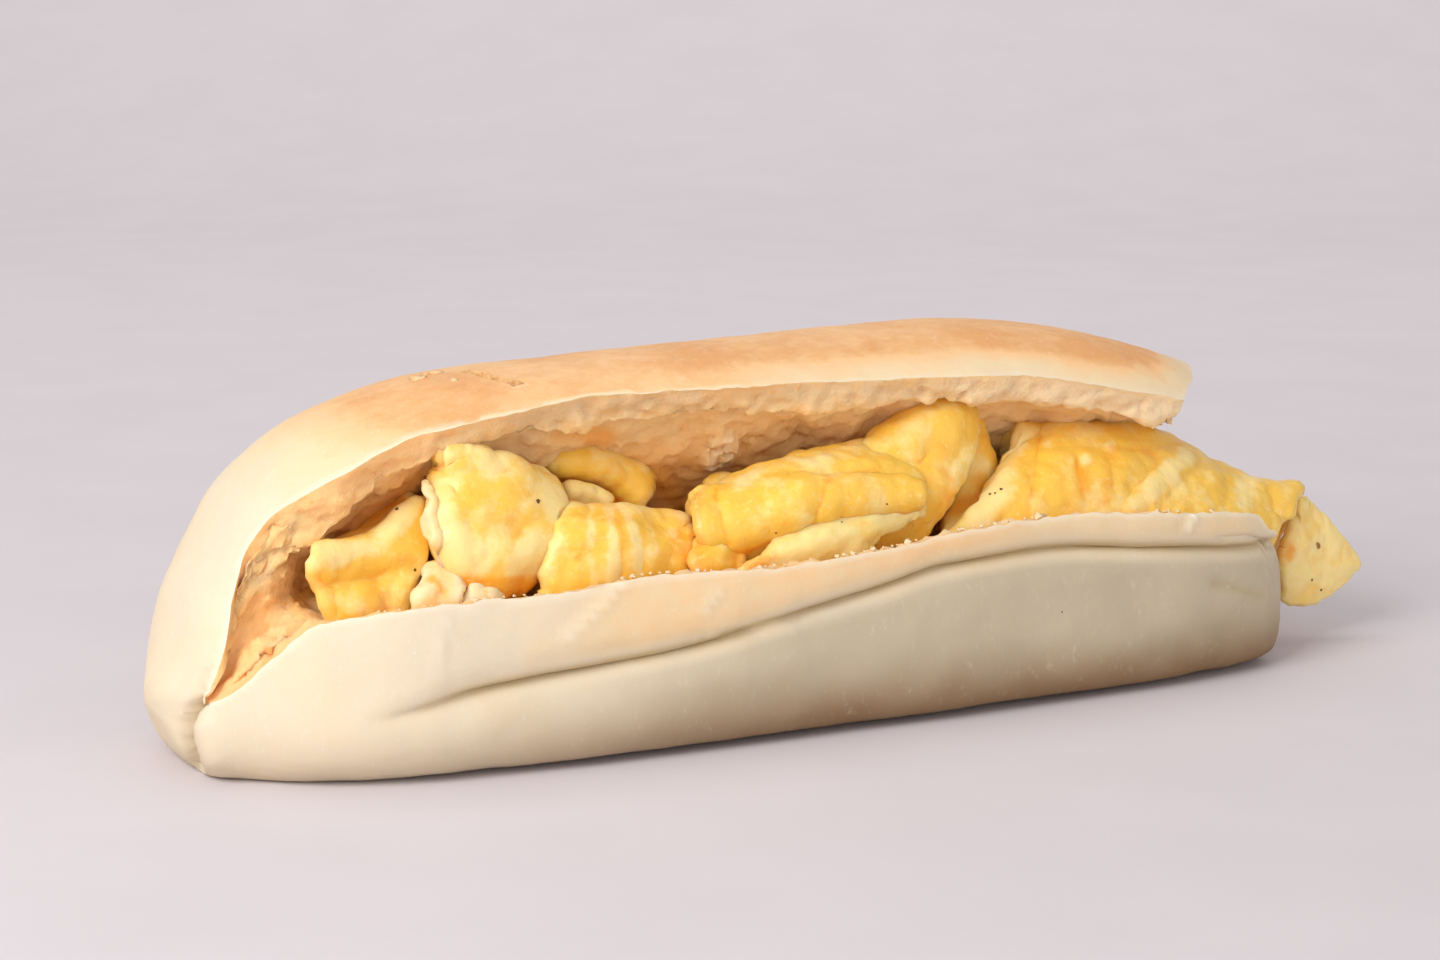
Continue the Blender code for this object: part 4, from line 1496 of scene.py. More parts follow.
@dataclass
class EggPiece:
    """One folded, curled or torn piece of egg, dressed over its solid.

    The sheet hangs over rails, from its front hem over its crest to its back hem.
    """

    node: str
    name: str
    rails: Rails
    thickness: float
    marks: tuple[Mark, ...] = ()
    ripple: float = 0.4
    puff: float = 0.45
    ragged: float = 0.9
    pale: float = 0.1
    orange: float = 0.0
    seed: float = 1.0
    step: float = 0.6
    soften: int = 7
    slot: Slot = Slot.EGG

    def middle(self) -> np.ndarray:
        """The middle of the sheet as a grid of points.

        Returns:
            An array of rows of (x, y, z) points.
        """
        widths = [sum((Vector(a) - Vector(b)).length for a, b in zip(r, r[1:]))
                  for r in self.rails]
        spine = [along(r, 0.5) for r in self.rails]
        length = sum((a - b).length for a, b in zip(spine, spine[1:]))
        columns = max(12, round(max(widths) / self.step))
        rows = max(12, round(length / self.step))
        grid = np.empty((rows + 1, columns + 1, 3))
        for i, a in enumerate(np.linspace(0, 1, columns + 1)):
            rail_points = [along(rail, a) for rail in self.rails]
            for j, d in enumerate(np.linspace(0, 1, rows + 1)):
                grid[j, i] = along(rail_points, d)
        return grid

    @staticmethod
    def facing(grid: np.ndarray) -> np.ndarray:
        """Outward normals of a grid of points.

        Args:
            grid: The points.

        Returns:
            The normals in a grid of the same shape.
        """
        side, run = np.gradient(grid, axis=0), np.gradient(grid, axis=1)
        normal = np.cross(run, side)
        return normal / np.maximum(np.linalg.norm(normal, axis=2), 1e-9)[..., None]

    @staticmethod
    def rim_distance(grid: np.ndarray) -> np.ndarray:
        """Distance of each grid point from the sheet's own edge, in millimetres.

        Args:
            grid: The points.

        Returns:
            The distances.
        """
        steps = [np.linalg.norm(np.diff(grid, axis=k), axis=2) for k in (0, 1)]
        down = np.concatenate([np.zeros((1, grid.shape[1])), np.cumsum(steps[0], axis=0)])
        across = np.concatenate([np.zeros((grid.shape[0], 1)), np.cumsum(steps[1], axis=1)], 1)
        down = np.minimum(down, down[-1:] - down)
        across = np.minimum(across, across[:, -1:] - across)
        return down * across / np.sqrt(down ** 2 + across ** 2 + 1e-9)

    def strengths(self, grid: np.ndarray, normal: np.ndarray) -> list[np.ndarray]:
        """Strength of each mark at each grid point that faces the camera.

        Args:
            grid: The points.
            normal: Their normals.

        Returns:
            One grid of strengths for each mark.
        """
        flat = (grid.reshape(-1, 3) + np.array(SHIFT)) * MM
        front = VIEW.towards(flat, normal.reshape(-1, 3)).reshape(grid.shape[:2])
        xs, ys = (v.reshape(grid.shape[:2]) for v in VIEW.pixels(flat))
        return [mark.at(xs, ys) * front for mark in self.marks]

    def bend(self, grid: np.ndarray, normal: np.ndarray, rim: np.ndarray,
             strengths: list[np.ndarray]) -> np.ndarray:
        """Folds, ripples and a torn edge, put into the sheet's middle.

        Args:
            grid: The points.
            normal: Their normals.
            rim: Their distances from the edge.
            strengths: Strengths of the marks there.

        Returns:
            The moved points.
        """
        lift = sum((m.lift * s for m, s in zip(self.marks, strengths)), np.zeros(rim.shape))
        lift = softened(lift, self.soften)
        moved = grid.copy()
        for j, i in np.ndindex(rim.shape):
            p = Vector(grid[j, i])
            wave = grain(p, 8, self.seed) + 0.45 * grain(p, 3.6, self.seed + 4)
            out = lift[j, i] + self.ripple * wave + 0.24 * grain(p, 2.0, self.seed + 2)
            loose = math.exp(-rim[j, i] / 1.6) * self.ragged
            shifts = [grain(p, 3.4, self.seed + 7 * k) + 0.6 * grain(p, 1.3, self.seed + 3 * k)
                      for k in (1, 2, 3)]
            moved[j, i] += normal[j, i] * out + np.array(shifts) * loose
        return moved

    def shell(self, grid: np.ndarray, normal: np.ndarray, rim: np.ndarray,
              ) -> tuple[list[Vector], list[tuple[int, int]], list[list[int]]]:
        """Closed shell round the sheet's middle, thinner towards its rim.

        Args:
            grid: The sheet's middle.
            normal: Its normals.
            rim: Distance of each grid point from the sheet's edge.

        Returns:
            Points in metres, the grid place of each, and faces.
        """
        turn = self.thickness * 0.6
        half = self.thickness / 2 * np.sqrt(1 - (1 - np.clip(rim / turn, 0, 1)) ** 2)
        rows, columns = rim.shape
        points, picked = [], []
        index = np.full((2, rows, columns), -1)
        for side, sign in ((0, 1.0), (1, -1.0)):
            for j, i in np.ndindex(rows, columns):
                border = j in (0, rows - 1) or i in (0, columns - 1)
                if border and side == 1:
                    index[1, j, i] = index[0, j, i]
                    continue
                p = Vector(grid[j, i])
                swell = self.puff * (0.4 + 0.9 * grain(p, 5.0, self.seed + 20 * side))
                swell += 0.38 * grain(p, 1.5, self.seed + 31)
                height = half[j, i] * (1 + swell / self.thickness * 1.4)
                index[side, j, i] = len(points)
                points.append(placed(p + Vector(normal[j, i]) * sign * height))
                picked.append((j, i))
        faces = []
        for j, i in np.ndindex(rows - 1, columns - 1):
            a, b, c, d = (j, i), (j, i + 1), (j + 1, i + 1), (j + 1, i)
            faces.append([int(index[(0, *k)]) for k in (a, b, c, d)])
            faces.append([int(index[(1, *k)]) for k in (d, c, b, a)])
        return points, picked, faces

    def build(self, material: bpy.types.Material) -> bpy.types.Object:
        """Makes the piece.

        Args:
            material: Its finish.

        Returns:
            The piece.
        """
        grid = self.middle()
        rim = self.rim_distance(grid)
        normal = self.facing(grid)
        strengths = self.strengths(grid, normal)
        grid = self.bend(grid, normal, rim, strengths)
        points, picked, faces = self.shell(grid, self.facing(grid), rim)
        mesh = bpy.data.meshes.new(self.name)
        mesh.from_pydata(points, [], faces)
        mesh.validate()
        egg = add_object(self.name, mesh)
        relax(mesh, np.ones(len(mesh.vertices)), 1)
        cells = tuple(np.array(picked).T)
        set_mask(mesh, "edge", np.array([ease(2.4, 0.2, r) for r in rim[cells]]))
        # Orange tints of the marks paint shade into dents, folds and under edges; pale tints on
        # ridges partly paint highlights.
        pale, orange = np.full(rim.shape, self.pale), np.full(rim.shape, self.orange)
        for mark, strength in zip(self.marks, strengths):
            pale += mark.pale * strength
            orange += mark.orange * strength
        set_mask(mesh, "pale", pale[cells])
        set_mask(mesh, "orange", orange[cells])
        mesh.materials.append(material)
        shade(egg, 180)
        return finished(egg, self.slot, self.node)


# The orange shares of pieces lying behind others paint their shade; orange marks paint shade into
# folds and under edges, and pale marks on ridges partly paint highlights.
EGG_PIECES = (
    EggPiece("egg_roll_long", "long_folded_egg", draped(
        seen((704, 551, -20), (731, 549, -20.5), (778, 534, -22), (828, 521, -22),
             (870, 517, -21.5), (919, 506, -21)),
        seen((693, 536, -20.5), (735, 531, -22.5), (785, 513, -24), (835, 503, -24),
             (880, 501, -23.5), (925, 497, -22.5)),
        seen((690, 516, -19), (735, 510, -21), (785, 493, -22), (835, 485, -22),
             (880, 482, -21.5), (927, 488, -21)),
        seen((691, 502, -16.5), (735, 496, -18), (785, 479, -18.5), (830, 469, -18),
             (875, 466, -17.5), (915, 470, -17)),
        seen((697, 489, -14), (716, 499, -14), (745, 483, -13.5), (785, 467, -13),
             (823, 459, -12.5), (862, 451, -12), (900, 440, -11)), hem=(0, 4, -7)),
        thickness=3.4, marks=(
            Mark(((790, 480), (850, 478), (890, 480), (924, 485)), 5, -0.9, 0, 0.35),
            Mark(((790, 496), (860, 492), (915, 494)), 8, 0.5, 0.1),
            Mark(((824, 489), (812, 508), (806, 523)), 6, -0.4, 0, 0.75),
            Mark(((843, 492), (836, 510)), 3.5, -0.5, 0, 0.3),
            Mark(((799, 496), (790, 520)), 5, 0.5, 0.3),
            Mark(((716, 503), (724, 538)), 6, -0.8, 0, 0.6),
            Mark(((696, 496), (697, 540)), 6, 0.4, 0, 0.9),
            Mark(((760, 500), (768, 528)), 6, -0.4),
            Mark(((735, 546), (790, 529), (850, 514), (915, 503)), 5, 0, 0, 1.0),
            Mark(((730, 500), (790, 472), (850, 462)), 6, 0.2, 0.5),
            Mark(((855, 476), (875, 473)), 3, -0.2, 0, 0.6)),
        seed=5),
    EggPiece("egg_lobe_tall", "tall_egg_lobe", draped(
        seen((880, 548, -18), (900, 546, -18), (920, 536, -17.5)),
        seen((880, 515, -18), (915, 512, -18.5), (942, 507, -17.5)),
        seen((850, 485, -16), (910, 480, -17.5), (959, 485, -16.5)),
        seen((845, 468, -13.5), (912, 447, -16), (974, 448, -14)),
        seen((862, 452, -11), (905, 427, -12.5), (938, 412, -13), (957, 414, -12.5),
             (974, 428, -11)),
        seen((868, 449, -8), (906, 422, -9), (936, 408, -9.5), (953, 408, -9),
             (968, 417, -8)), back=(0.5, 8, -14)),
        thickness=3.8, ripple=0.5, marks=(
            Mark(((948, 430), (952, 455), (942, 480)), 12, 0.6, 0.4),
            Mark(((925, 440), (915, 475)), 8, -0.5, 0, 0.2),
            Mark(((880, 464), (918, 462)), 4, -0.3, 0, 0.6),
            Mark(((935, 500), (915, 530)), 10, 0, 0, 0.35),
            Mark(((900, 432), (920, 418)), 7, 0.3, 0, 0.3),
            Mark(((970, 430), (972, 450), (960, 485)), 4, 0, 0.6)),
        seed=6),
    EggPiece("egg_lobe_behind", "egg_lobe_behind_tall", draped(
        seen((930, 558, -18), (962, 547, -18.5), (1004, 526, -17)),
        seen((938, 530, -17), (968, 520, -17), (1005, 507, -15)),
        seen((950, 492, -12), (978, 488, -12), (1000, 487, -10)),
        seen((962, 440, -10), (977, 440, -9.5), (989, 450, -8)),
        seen((964, 420, -7.5), (973, 420, -7), (983, 434, -6))),
        thickness=3.0, orange=0.15, marks=(
            Mark(((920, 530), (950, 515), (985, 505)), 11, -0.8, 0, 1.0),
            Mark(((978, 450), (984, 480)), 5, 0.5, 0.2)), seed=7),
    EggPiece("egg_sheet_right", "folded_egg_sheet", draped(
        seen((942, 550, -20), (1000, 540, -20.5), (1060, 526, -21), (1120, 522, -21),
             (1180, 522, -20.5), (1240, 520, -18), (1276, 528, -15)),
        seen((948, 534, -20), (1003, 519, -20.5), (1060, 502, -20.5), (1120, 497, -20),
             (1180, 501, -18.5), (1240, 506, -16), (1286, 522, -13.5)),
        seen((978, 513, -18), (1014, 493, -18.5), (1062, 476, -18.5), (1120, 473, -18),
             (1180, 483, -16), (1238, 495, -14), (1296, 505, -12.5)),
        seen((990, 493, -14), (1019, 466, -14), (1065, 449, -14), (1120, 450, -13.5),
             (1172, 462, -13), (1232, 486, -12), (1302, 496, -11)),
        seen((1012, 433, -8), (1036, 435, -8), (1060, 428, -7.5), (1100, 429, -7),
             (1146, 436, -7), (1182, 454, -7.5), (1214, 471, -8), (1257, 490, -8.5),
             (1303, 491, -9))),
        thickness=3.4, ripple=0.5, marks=(
            Mark(((1016, 446), (1010, 475), (1003, 500), (975, 520)), 9, 0.7, 0.8),
            Mark(((1040, 440), (1036, 470), (1028, 503)), 7, -0.6, 0, 0.55),
            Mark(((1058, 438), (1110, 438), (1160, 447)), 5, 0.6, 0.1),
            Mark(((1058, 452), (1110, 454), (1150, 460)), 4, -0.5, 0, 0.35),
            Mark(((1058, 462), (1054, 502)), 6, 0.25, 0, 0.1),
            Mark(((1073, 462), (1078, 498)), 7, -0.25, 0, 0.6),
            Mark(((1090, 462), (1092, 490)), 8, 0.2),
            Mark(((1106, 464), (1100, 503)), 8, -0.2, 0, 0.5),
            Mark(((1178, 463), (1152, 486), (1130, 508)), 7, 0.7, 0.95),
            Mark(((1160, 464), (1136, 485), (1118, 505)), 6, -0.4, 0, 0.3),
            Mark(((1192, 470), (1172, 490), (1156, 508)), 6, -0.3, 0, 0.2),
            Mark(((1202, 486),), 15, 0.7),
            Mark(((1240, 500),), 14, 0, 0.7),
            Mark(((1301, 494), (1294, 515), (1284, 535)), 5, 0.5, 0.5),
            Mark(((1262, 495), (1274, 522)), 4, -0.7, 0, 0.3),
            Mark(((1082, 467),), 4, 0.4, 1.2), Mark(((1106, 453),), 3.5, 0.4, 1.2),
            Mark(((1048, 455),), 4, 0.3, 0.9)),
        seed=11, soften=9),
    EggPiece("egg_fold_peak", "peaked_egg_fold", draped(
        seen((449, 574, -13), (459, 569, -17), (474, 578, -18.5), (500, 582, -19),
             (524, 571, -18), (549, 548, -16.5)),
        seen((442, 545, -13), (451, 541, -17.5), (472, 550, -18.8), (505, 552, -19.2),
             (535, 540, -18), (560, 524, -16)),
        seen((440, 510, -12), (448, 507, -16), (472, 516, -17.4), (505, 514, -17.4),
             (540, 507, -16.3), (563, 509, -13.5)),
        seen((441, 482, -10), (446, 476, -13.5), (466, 478, -16), (503, 480, -16),
             (536, 483, -14), (556, 492, -11)),
        seen((438, 455, -14), (449, 452, -14.8), (464, 452, -15), (482, 457, -14.5),
             (508, 466, -13), (546, 477, -8.5)), hem=(0, 2.4, -3.6)),
        thickness=3.6, ripple=0.9, ragged=2.0, puff=0.3, marks=(
            Mark(((482, 512),), 26, -0.4, -0.45),
            Mark(((502, 475),), 5, -0.8, 0, 0.3),
            Mark(((434, 486), (432, 520), (440, 566)), 7, 0, -0.5, 1.0),
            Mark(((441, 470), (446, 505), (452, 545), (466, 566)), 5, 0.4, 0.5),
            Mark(((468, 522),), 8, -0.5), Mark(((531, 500),), 8, -0.4),
            Mark(((512, 545), (522, 530)), 7, -0.5, 0, 0.2),
            Mark(((452, 492), (470, 470)), 8, -0.4, 0, 0.2),
            Mark(((437, 444), (441, 470)), 8, 0.3, 0, 0.8),
            Mark(((437, 444), (454, 446)), 5, 0.4, 0.3),
            Mark(((498, 456), (530, 464), (555, 484)), 5, 0.3, 1.0),
            Mark(((530, 548),), 12, 0.6, 0.5),
            Mark(((450, 562), (480, 576), (512, 572)), 6, 0, 0, 0.6),
            Mark(((450, 590), (500, 592), (545, 575)), 14, 0, -0.6, 1.2),
            Mark(((546, 500), (556, 520)), 9, 0.2, 0.4),
            Mark(((505, 562), (525, 545)), 8, 0.3, 0.5),
            Mark(((462, 545), (480, 560)), 9, 0.3, 0.5)),
        pale=0.5, seed=3, soften=4),
    EggPiece("egg_fold_left", "left_egg_fold", draped(
        seen((323, 616, -16.5), (350, 614, -17), (382, 610, -16.5), (411, 604, -15.5)),
        seen((310, 592, -16), (345, 587, -15.5), (385, 578, -14.5), (422, 570, -14.5)),
        seen((301, 574, -16.5), (340, 567, -15.6), (380, 553, -14.2), (431, 538, -13.5)),
        seen((307, 557, -15.5), (338, 549, -15), (378, 540, -13), (408, 513, -11),
             (425, 500, -10)),
        seen((318, 553, -11), (342, 546, -10.5), (377, 534, -9), (402, 512, -7.5),
             (417, 496, -7)),
        seen((330, 549, -5), (354, 541, -4.5), (380, 522, -4), (400, 508, -4),
             (413, 495, -4)), back=(0.5, 3, -8)),
        thickness=2.7, ripple=0.6, marks=(
            Mark(((305, 567), (335, 557), (375, 547), (404, 522), (419, 500)), 8, 0.3, 0.9),
            Mark(((325, 585), (360, 577), (395, 562), (420, 540)), 10, -0.3, 0, 0.35),
            Mark(((372, 580), (386, 606)), 10, -0.45, 0, 0.4),
            Mark(((346, 602),), 13, 0.4, 0.7),
            Mark(((412, 548), (404, 592)), 8, 0.6, 0.2),
            Mark(((348, 540), (380, 521), (404, 504)), 7, 0, 0, 0.9),
            Mark(((312, 575), (322, 600)), 5, 0, 0, 0.4)),
        pale=0.0, seed=8),
    EggPiece("egg_curl_back", "curled_egg_behind", draped(
        seen((549, 480, -3), (575, 481, -3), (600, 489, -3), (622, 501, -3.5),
             (641, 511, -4)),
        seen((543, 464, -4.5), (578, 461, -5), (608, 468, -5), (630, 483, -5),
             (648, 503, -5)),
        seen((540, 454, -1), (560, 446, 0), (590, 446, 0), (618, 454, 0), (636, 469, -1),
             (652, 490, -2)), hem=(0, 6, -6), back=(0.5, 6, -10)),
        thickness=3.0, orange=0.1, marks=(
            Mark(((552, 479), (590, 484), (620, 500)), 8, -1.3, 0, 1.3),
            Mark(((560, 452), (600, 452), (635, 474)), 6, 0.3, 0.3),
            Mark(((645, 500),), 9, 0, 0.4)), seed=21, ripple=0.7),
    EggPiece("egg_scramble_middle", "scrambled_egg_middle", draped(
        seen((536, 592, -20), (575, 584, -21), (615, 577, -21.5), (650, 570, -21),
             (688, 564, -19)),
        seen((541, 556, -19.5), (580, 551, -21), (615, 546, -21.5), (655, 546, -20),
             (693, 546, -18)),
        seen((550, 530, -18), (585, 531, -19.5), (620, 530, -19.5), (658, 534, -18),
             (695, 537, -16)),
        seen((559, 517, -14), (592, 520, -14.5), (633, 518, -14.5), (662, 521, -14),
             (690, 528, -13))),
        thickness=3.8, ripple=0.8, marks=(
            Mark(((606, 524), (609, 550), (604, 578)), 3, 0.4, 1.3),
            Mark(((620, 518), (629, 545), (632, 572)), 3, 0.5, 1.3),
            Mark(((592, 520), (586, 545), (590, 580)), 4, 0.15, 0.6),
            Mark(((615, 538), (618, 574)), 4.5, -0.7, -0.4, 0.25),
            Mark(((598, 545), (576, 562)), 7, -0.5, -0.3, 0.3),
            Mark(((556, 540), (550, 572)), 9, 0.2, 0.3),
            Mark(((566, 512), (600, 517), (642, 517)), 6, 0.2, 0.7),
            Mark(((643, 528), (646, 566)), 6, 0.35, 0.5),
            Mark(((674, 548),), 15, -0.2, 0, 0.9),
            Mark(((669, 540),), 3.5, 0.7, 0.6), Mark(((680, 551),), 3.5, 0.7, 0.6),
            Mark(((687, 538),), 3.5, 0.6, 0.5), Mark(((675, 530),), 5, 0.4, 0.5)),
        seed=17),
    EggPiece("egg_strip_middle", "egg_strip_behind", draped(
        seen((560, 508, -7), (585, 512, -7), (614, 517, -7)),
        seen((562, 492, -8), (588, 490, -8), (614, 503, -8)), back=(0.5, 4, -8)),
        thickness=2.2, pale=0.7, seed=33, step=0.5),
    EggPiece("egg_flap_low", "low_egg_flap", draped(
        seen((738, 574, -23.5), (790, 568, -24), (830, 562, -24), (861, 557, -23.5)),
        seen((750, 562, -24), (800, 549, -24.8), (845, 542, -24.6), (877, 546, -23.5)),
        seen((764, 550, -23.8), (810, 538, -24.8), (855, 529, -24.6), (890, 531, -23.5)),
        seen((773, 541, -23), (815, 529, -24), (865, 520, -24), (900, 517, -23.2),
             (917, 520, -22.5)),
        seen((776, 536, -22), (820, 525, -23), (870, 516, -23), (905, 508, -22.5),
             (923, 505, -22)), back=(0.5, 5, -6)),
        thickness=1.8, pale=0.85, ragged=1.3, ripple=0.3, seed=29, step=0.5, marks=(
            Mark(((752, 562), (762, 552)), 13, 0, -0.5, 0.8),
            Mark(((790, 552), (850, 536)), 7, 0.4, 0.2),
            Mark(((866, 540), (868, 552)), 3.5, -0.6, 0, 0.5))),
    EggPiece("egg_bit_low", "low_egg_bit", draped(
        seen((688, 574, -22.5), (716, 572, -23), (748, 569, -22.5)),
        seen((686, 560, -21.5), (715, 556, -22.8), (746, 564, -22)),
        seen((690, 550, -19), (716, 541, -20.5), (740, 556, -20)), back=(0, 4, -6)),
        thickness=2.2, orange=0.5, seed=41, step=0.45, ripple=0.6, ragged=1.1, marks=(
            Mark(((718, 549),), 7, 0.3, 0.9, -0.6),)),
    EggPiece("egg_sliver_back", "egg_sliver_behind", draped(
        seen((699, 503, -6), (720, 503, -6), (745, 494, -6)),
        seen((703, 488, -6), (720, 482, -6), (742, 482, -6)), back=(0, 5, -8)),
        thickness=2.0, pale=0.4, seed=43, step=0.5),
    EggPiece("egg_tail_flap", "egg_tail", (
        seen((1300, 497, -10.5), (1290, 530, -12), (1281, 560, -12), (1279, 597, -11)),
        seen((1303, 499, -9.5), (1306, 530, -10.5), (1302, 568, -11.5), (1293, 605, -11)),
        seen((1305, 501, -9), (1322, 527, -9.5), (1330, 562, -10.5), (1316, 602, -10.5)),
        seen((1306, 503, -8.5), (1330, 528, -8.5), (1356, 561, -8.5), (1337, 587, -9.5))),
        thickness=2.2, pale=0.8, ripple=0.35, ragged=1.0, seed=47, step=0.45, marks=(
            Mark(((1291, 530), (1285, 556)), 6, -0.8, 0, 0.7),
            Mark(((1318, 546),), 5, -0.3, 0, 0.5),
            Mark(((1310, 582), (1321, 590)), 8, 0.3, 0, 0.3))),
    EggPiece("pale_shred_left", "left_pale_shred", draped(
        seen((409, 612, -20), (424, 609, -20.5), (440, 606, -21), (462, 603, -20.5)),
        seen((414, 600, -19.5), (430, 592, -20), (446, 590, -20), (466, 592, -19.5)),
        seen((421, 578, -16), (434, 569, -16), (450, 573, -17), (462, 582, -17)),
        back=(0, 3, -7)),
        thickness=1.7, seed=51, step=0.45, puff=0.1, ripple=0.6, ragged=1.2, pale=0.5,
        slot=Slot.SHRED, marks=(
            Mark(((432, 584), (444, 596)), 5, -0.7, -0.3, 0.9),
            Mark(((420, 600), (432, 590)), 4, 0.5, 0.5),
            Mark(((455, 584), (458, 600)), 5, 0.4, 0.3),
            Mark(((412, 606),), 6, 0, -0.3, 0.6))),
    EggPiece("pale_shred_middle", "middle_pale_shred", draped(
        seen((459, 604, -20.5), (474, 603, -21), (490, 601, -21), (503, 600, -20)),
        seen((466, 588, -19.5), (477, 586, -20), (490, 586, -20), (501, 588, -19)),
        seen((467, 570, -18), (478, 566, -18.5), (492, 570, -18), (500, 575, -17)),
        back=(0, 3, -6)),
        thickness=1.4, seed=52, step=0.45, puff=0.1, ripple=0.5, ragged=1.2, pale=0.7,
        slot=Slot.SHRED, marks=(Mark(((484, 574), (484, 600)), 4, -0.5, 0, 0.5),
                                Mark(((472, 600), (500, 600)), 4, 0, 0.4))),
    EggPiece("pale_shred_upright", "upright_pale_shred", (
        seen((421, 481, -14), (427, 506, -16), (430, 536, -17), (434, 566, -18)),
        seen((427, 484, -15), (433, 508, -17), (437, 538, -18), (444, 570, -18.5)),
        seen((434, 488, -14), (441, 510, -16), (446, 540, -17), (452, 572, -17.5))),
        thickness=1.0, seed=53, step=0.4, ripple=0.7, ragged=1.8, pale=0.1,
        slot=Slot.SHRED, marks=(Mark(((430, 540), (440, 556)), 5, -0.4, -0.2, 0.7),)),
)


@dataclass
class Scraps:
    """Small bits, each at a place with a normal and a size, joined into one piece."""

    name: str
    slot: Slot
    flat: float = 0.6
    rough: float = 0.5
    detail: int = 2

    @staticmethod
    def under(*places: Point) -> list[tuple[Vector, Vector, float]]:
        """Places on the built pieces that the camera sees at pixels.

        Args:
            places: Pixel x, pixel y and the bit's size in millimetres.

        Returns:
            Place, normal and size of each.
        """
        graph = bpy.context.evaluated_depsgraph_get()
        found = []
        for x, y, size in places:
            hit, place, normal, _, piece, _ = bpy.context.scene.ray_cast(graph, *VIEW.ray(x, y))
            if hit and piece.name != FLOOR_NAME:
                found.append((place, normal, size))
        return found

    @staticmethod
    def along_lip(first: float, last: float, spacing: float) -> list[tuple[Vector, Vector, float]]:
        """Places along the torn edge of the lower half.

        Args:
            first: Where the row starts.
            last: Where it ends.
            spacing: Distance between places.

        Returns:
            Place, normal and size of each.
        """
        found = []
        for k in range(int((last - first) / spacing)):
            x = first + spacing * (k + 0.8 * noise.noise(Vector((k * 0.73, 0.2, 0.6))))
            pick = noise.noise(Vector((x / 5.0, 3.3, 0.4)))
            z = SHAPE.lip.at(x)
            place = placed((x, SHAPE.front_y(x, z) + 0.7 + 0.8 * pick, z + 0.1))
            size = 0.2 + 0.9 * max(0.0, noise.noise(Vector((k * 1.37, 5.1, 0.9))))
            if pick > 0.12:
                found.append((place, Vector((0, -0.3, 0.95)), size))
        return found

    def build(self, places: list[tuple[Vector, Vector, float]],
              material: bpy.types.Material) -> bpy.types.Object:
        """Makes the bits.

        Args:
            places: Place, normal and size in millimetres of each.
            material: Their finish.

        Returns:
            The joined piece.
        """
        bm = bmesh.new()
        for k, (place, normal, size) in enumerate(places):
            turn = normal.to_track_quat("Z", "Y").to_matrix()
            made = bmesh.ops.create_icosphere(bm, subdivisions=self.detail, radius=1.0)
            for vert in made["verts"]:
                bump = noise.noise(vert.co * 1.4 + Vector((k * 3.1, k, 0)))
                p = vert.co * (1 + self.rough * bump)
                p.z *= self.flat
                vert.co = place + turn @ p * size * MM
        mesh = bpy.data.meshes.new(self.name)
        bm.to_mesh(mesh)
        bm.free()
        mesh.materials.append(material)
        bits = add_object(self.name, mesh)
        shade(bits, 180)
        return finished(bits, self.slot)


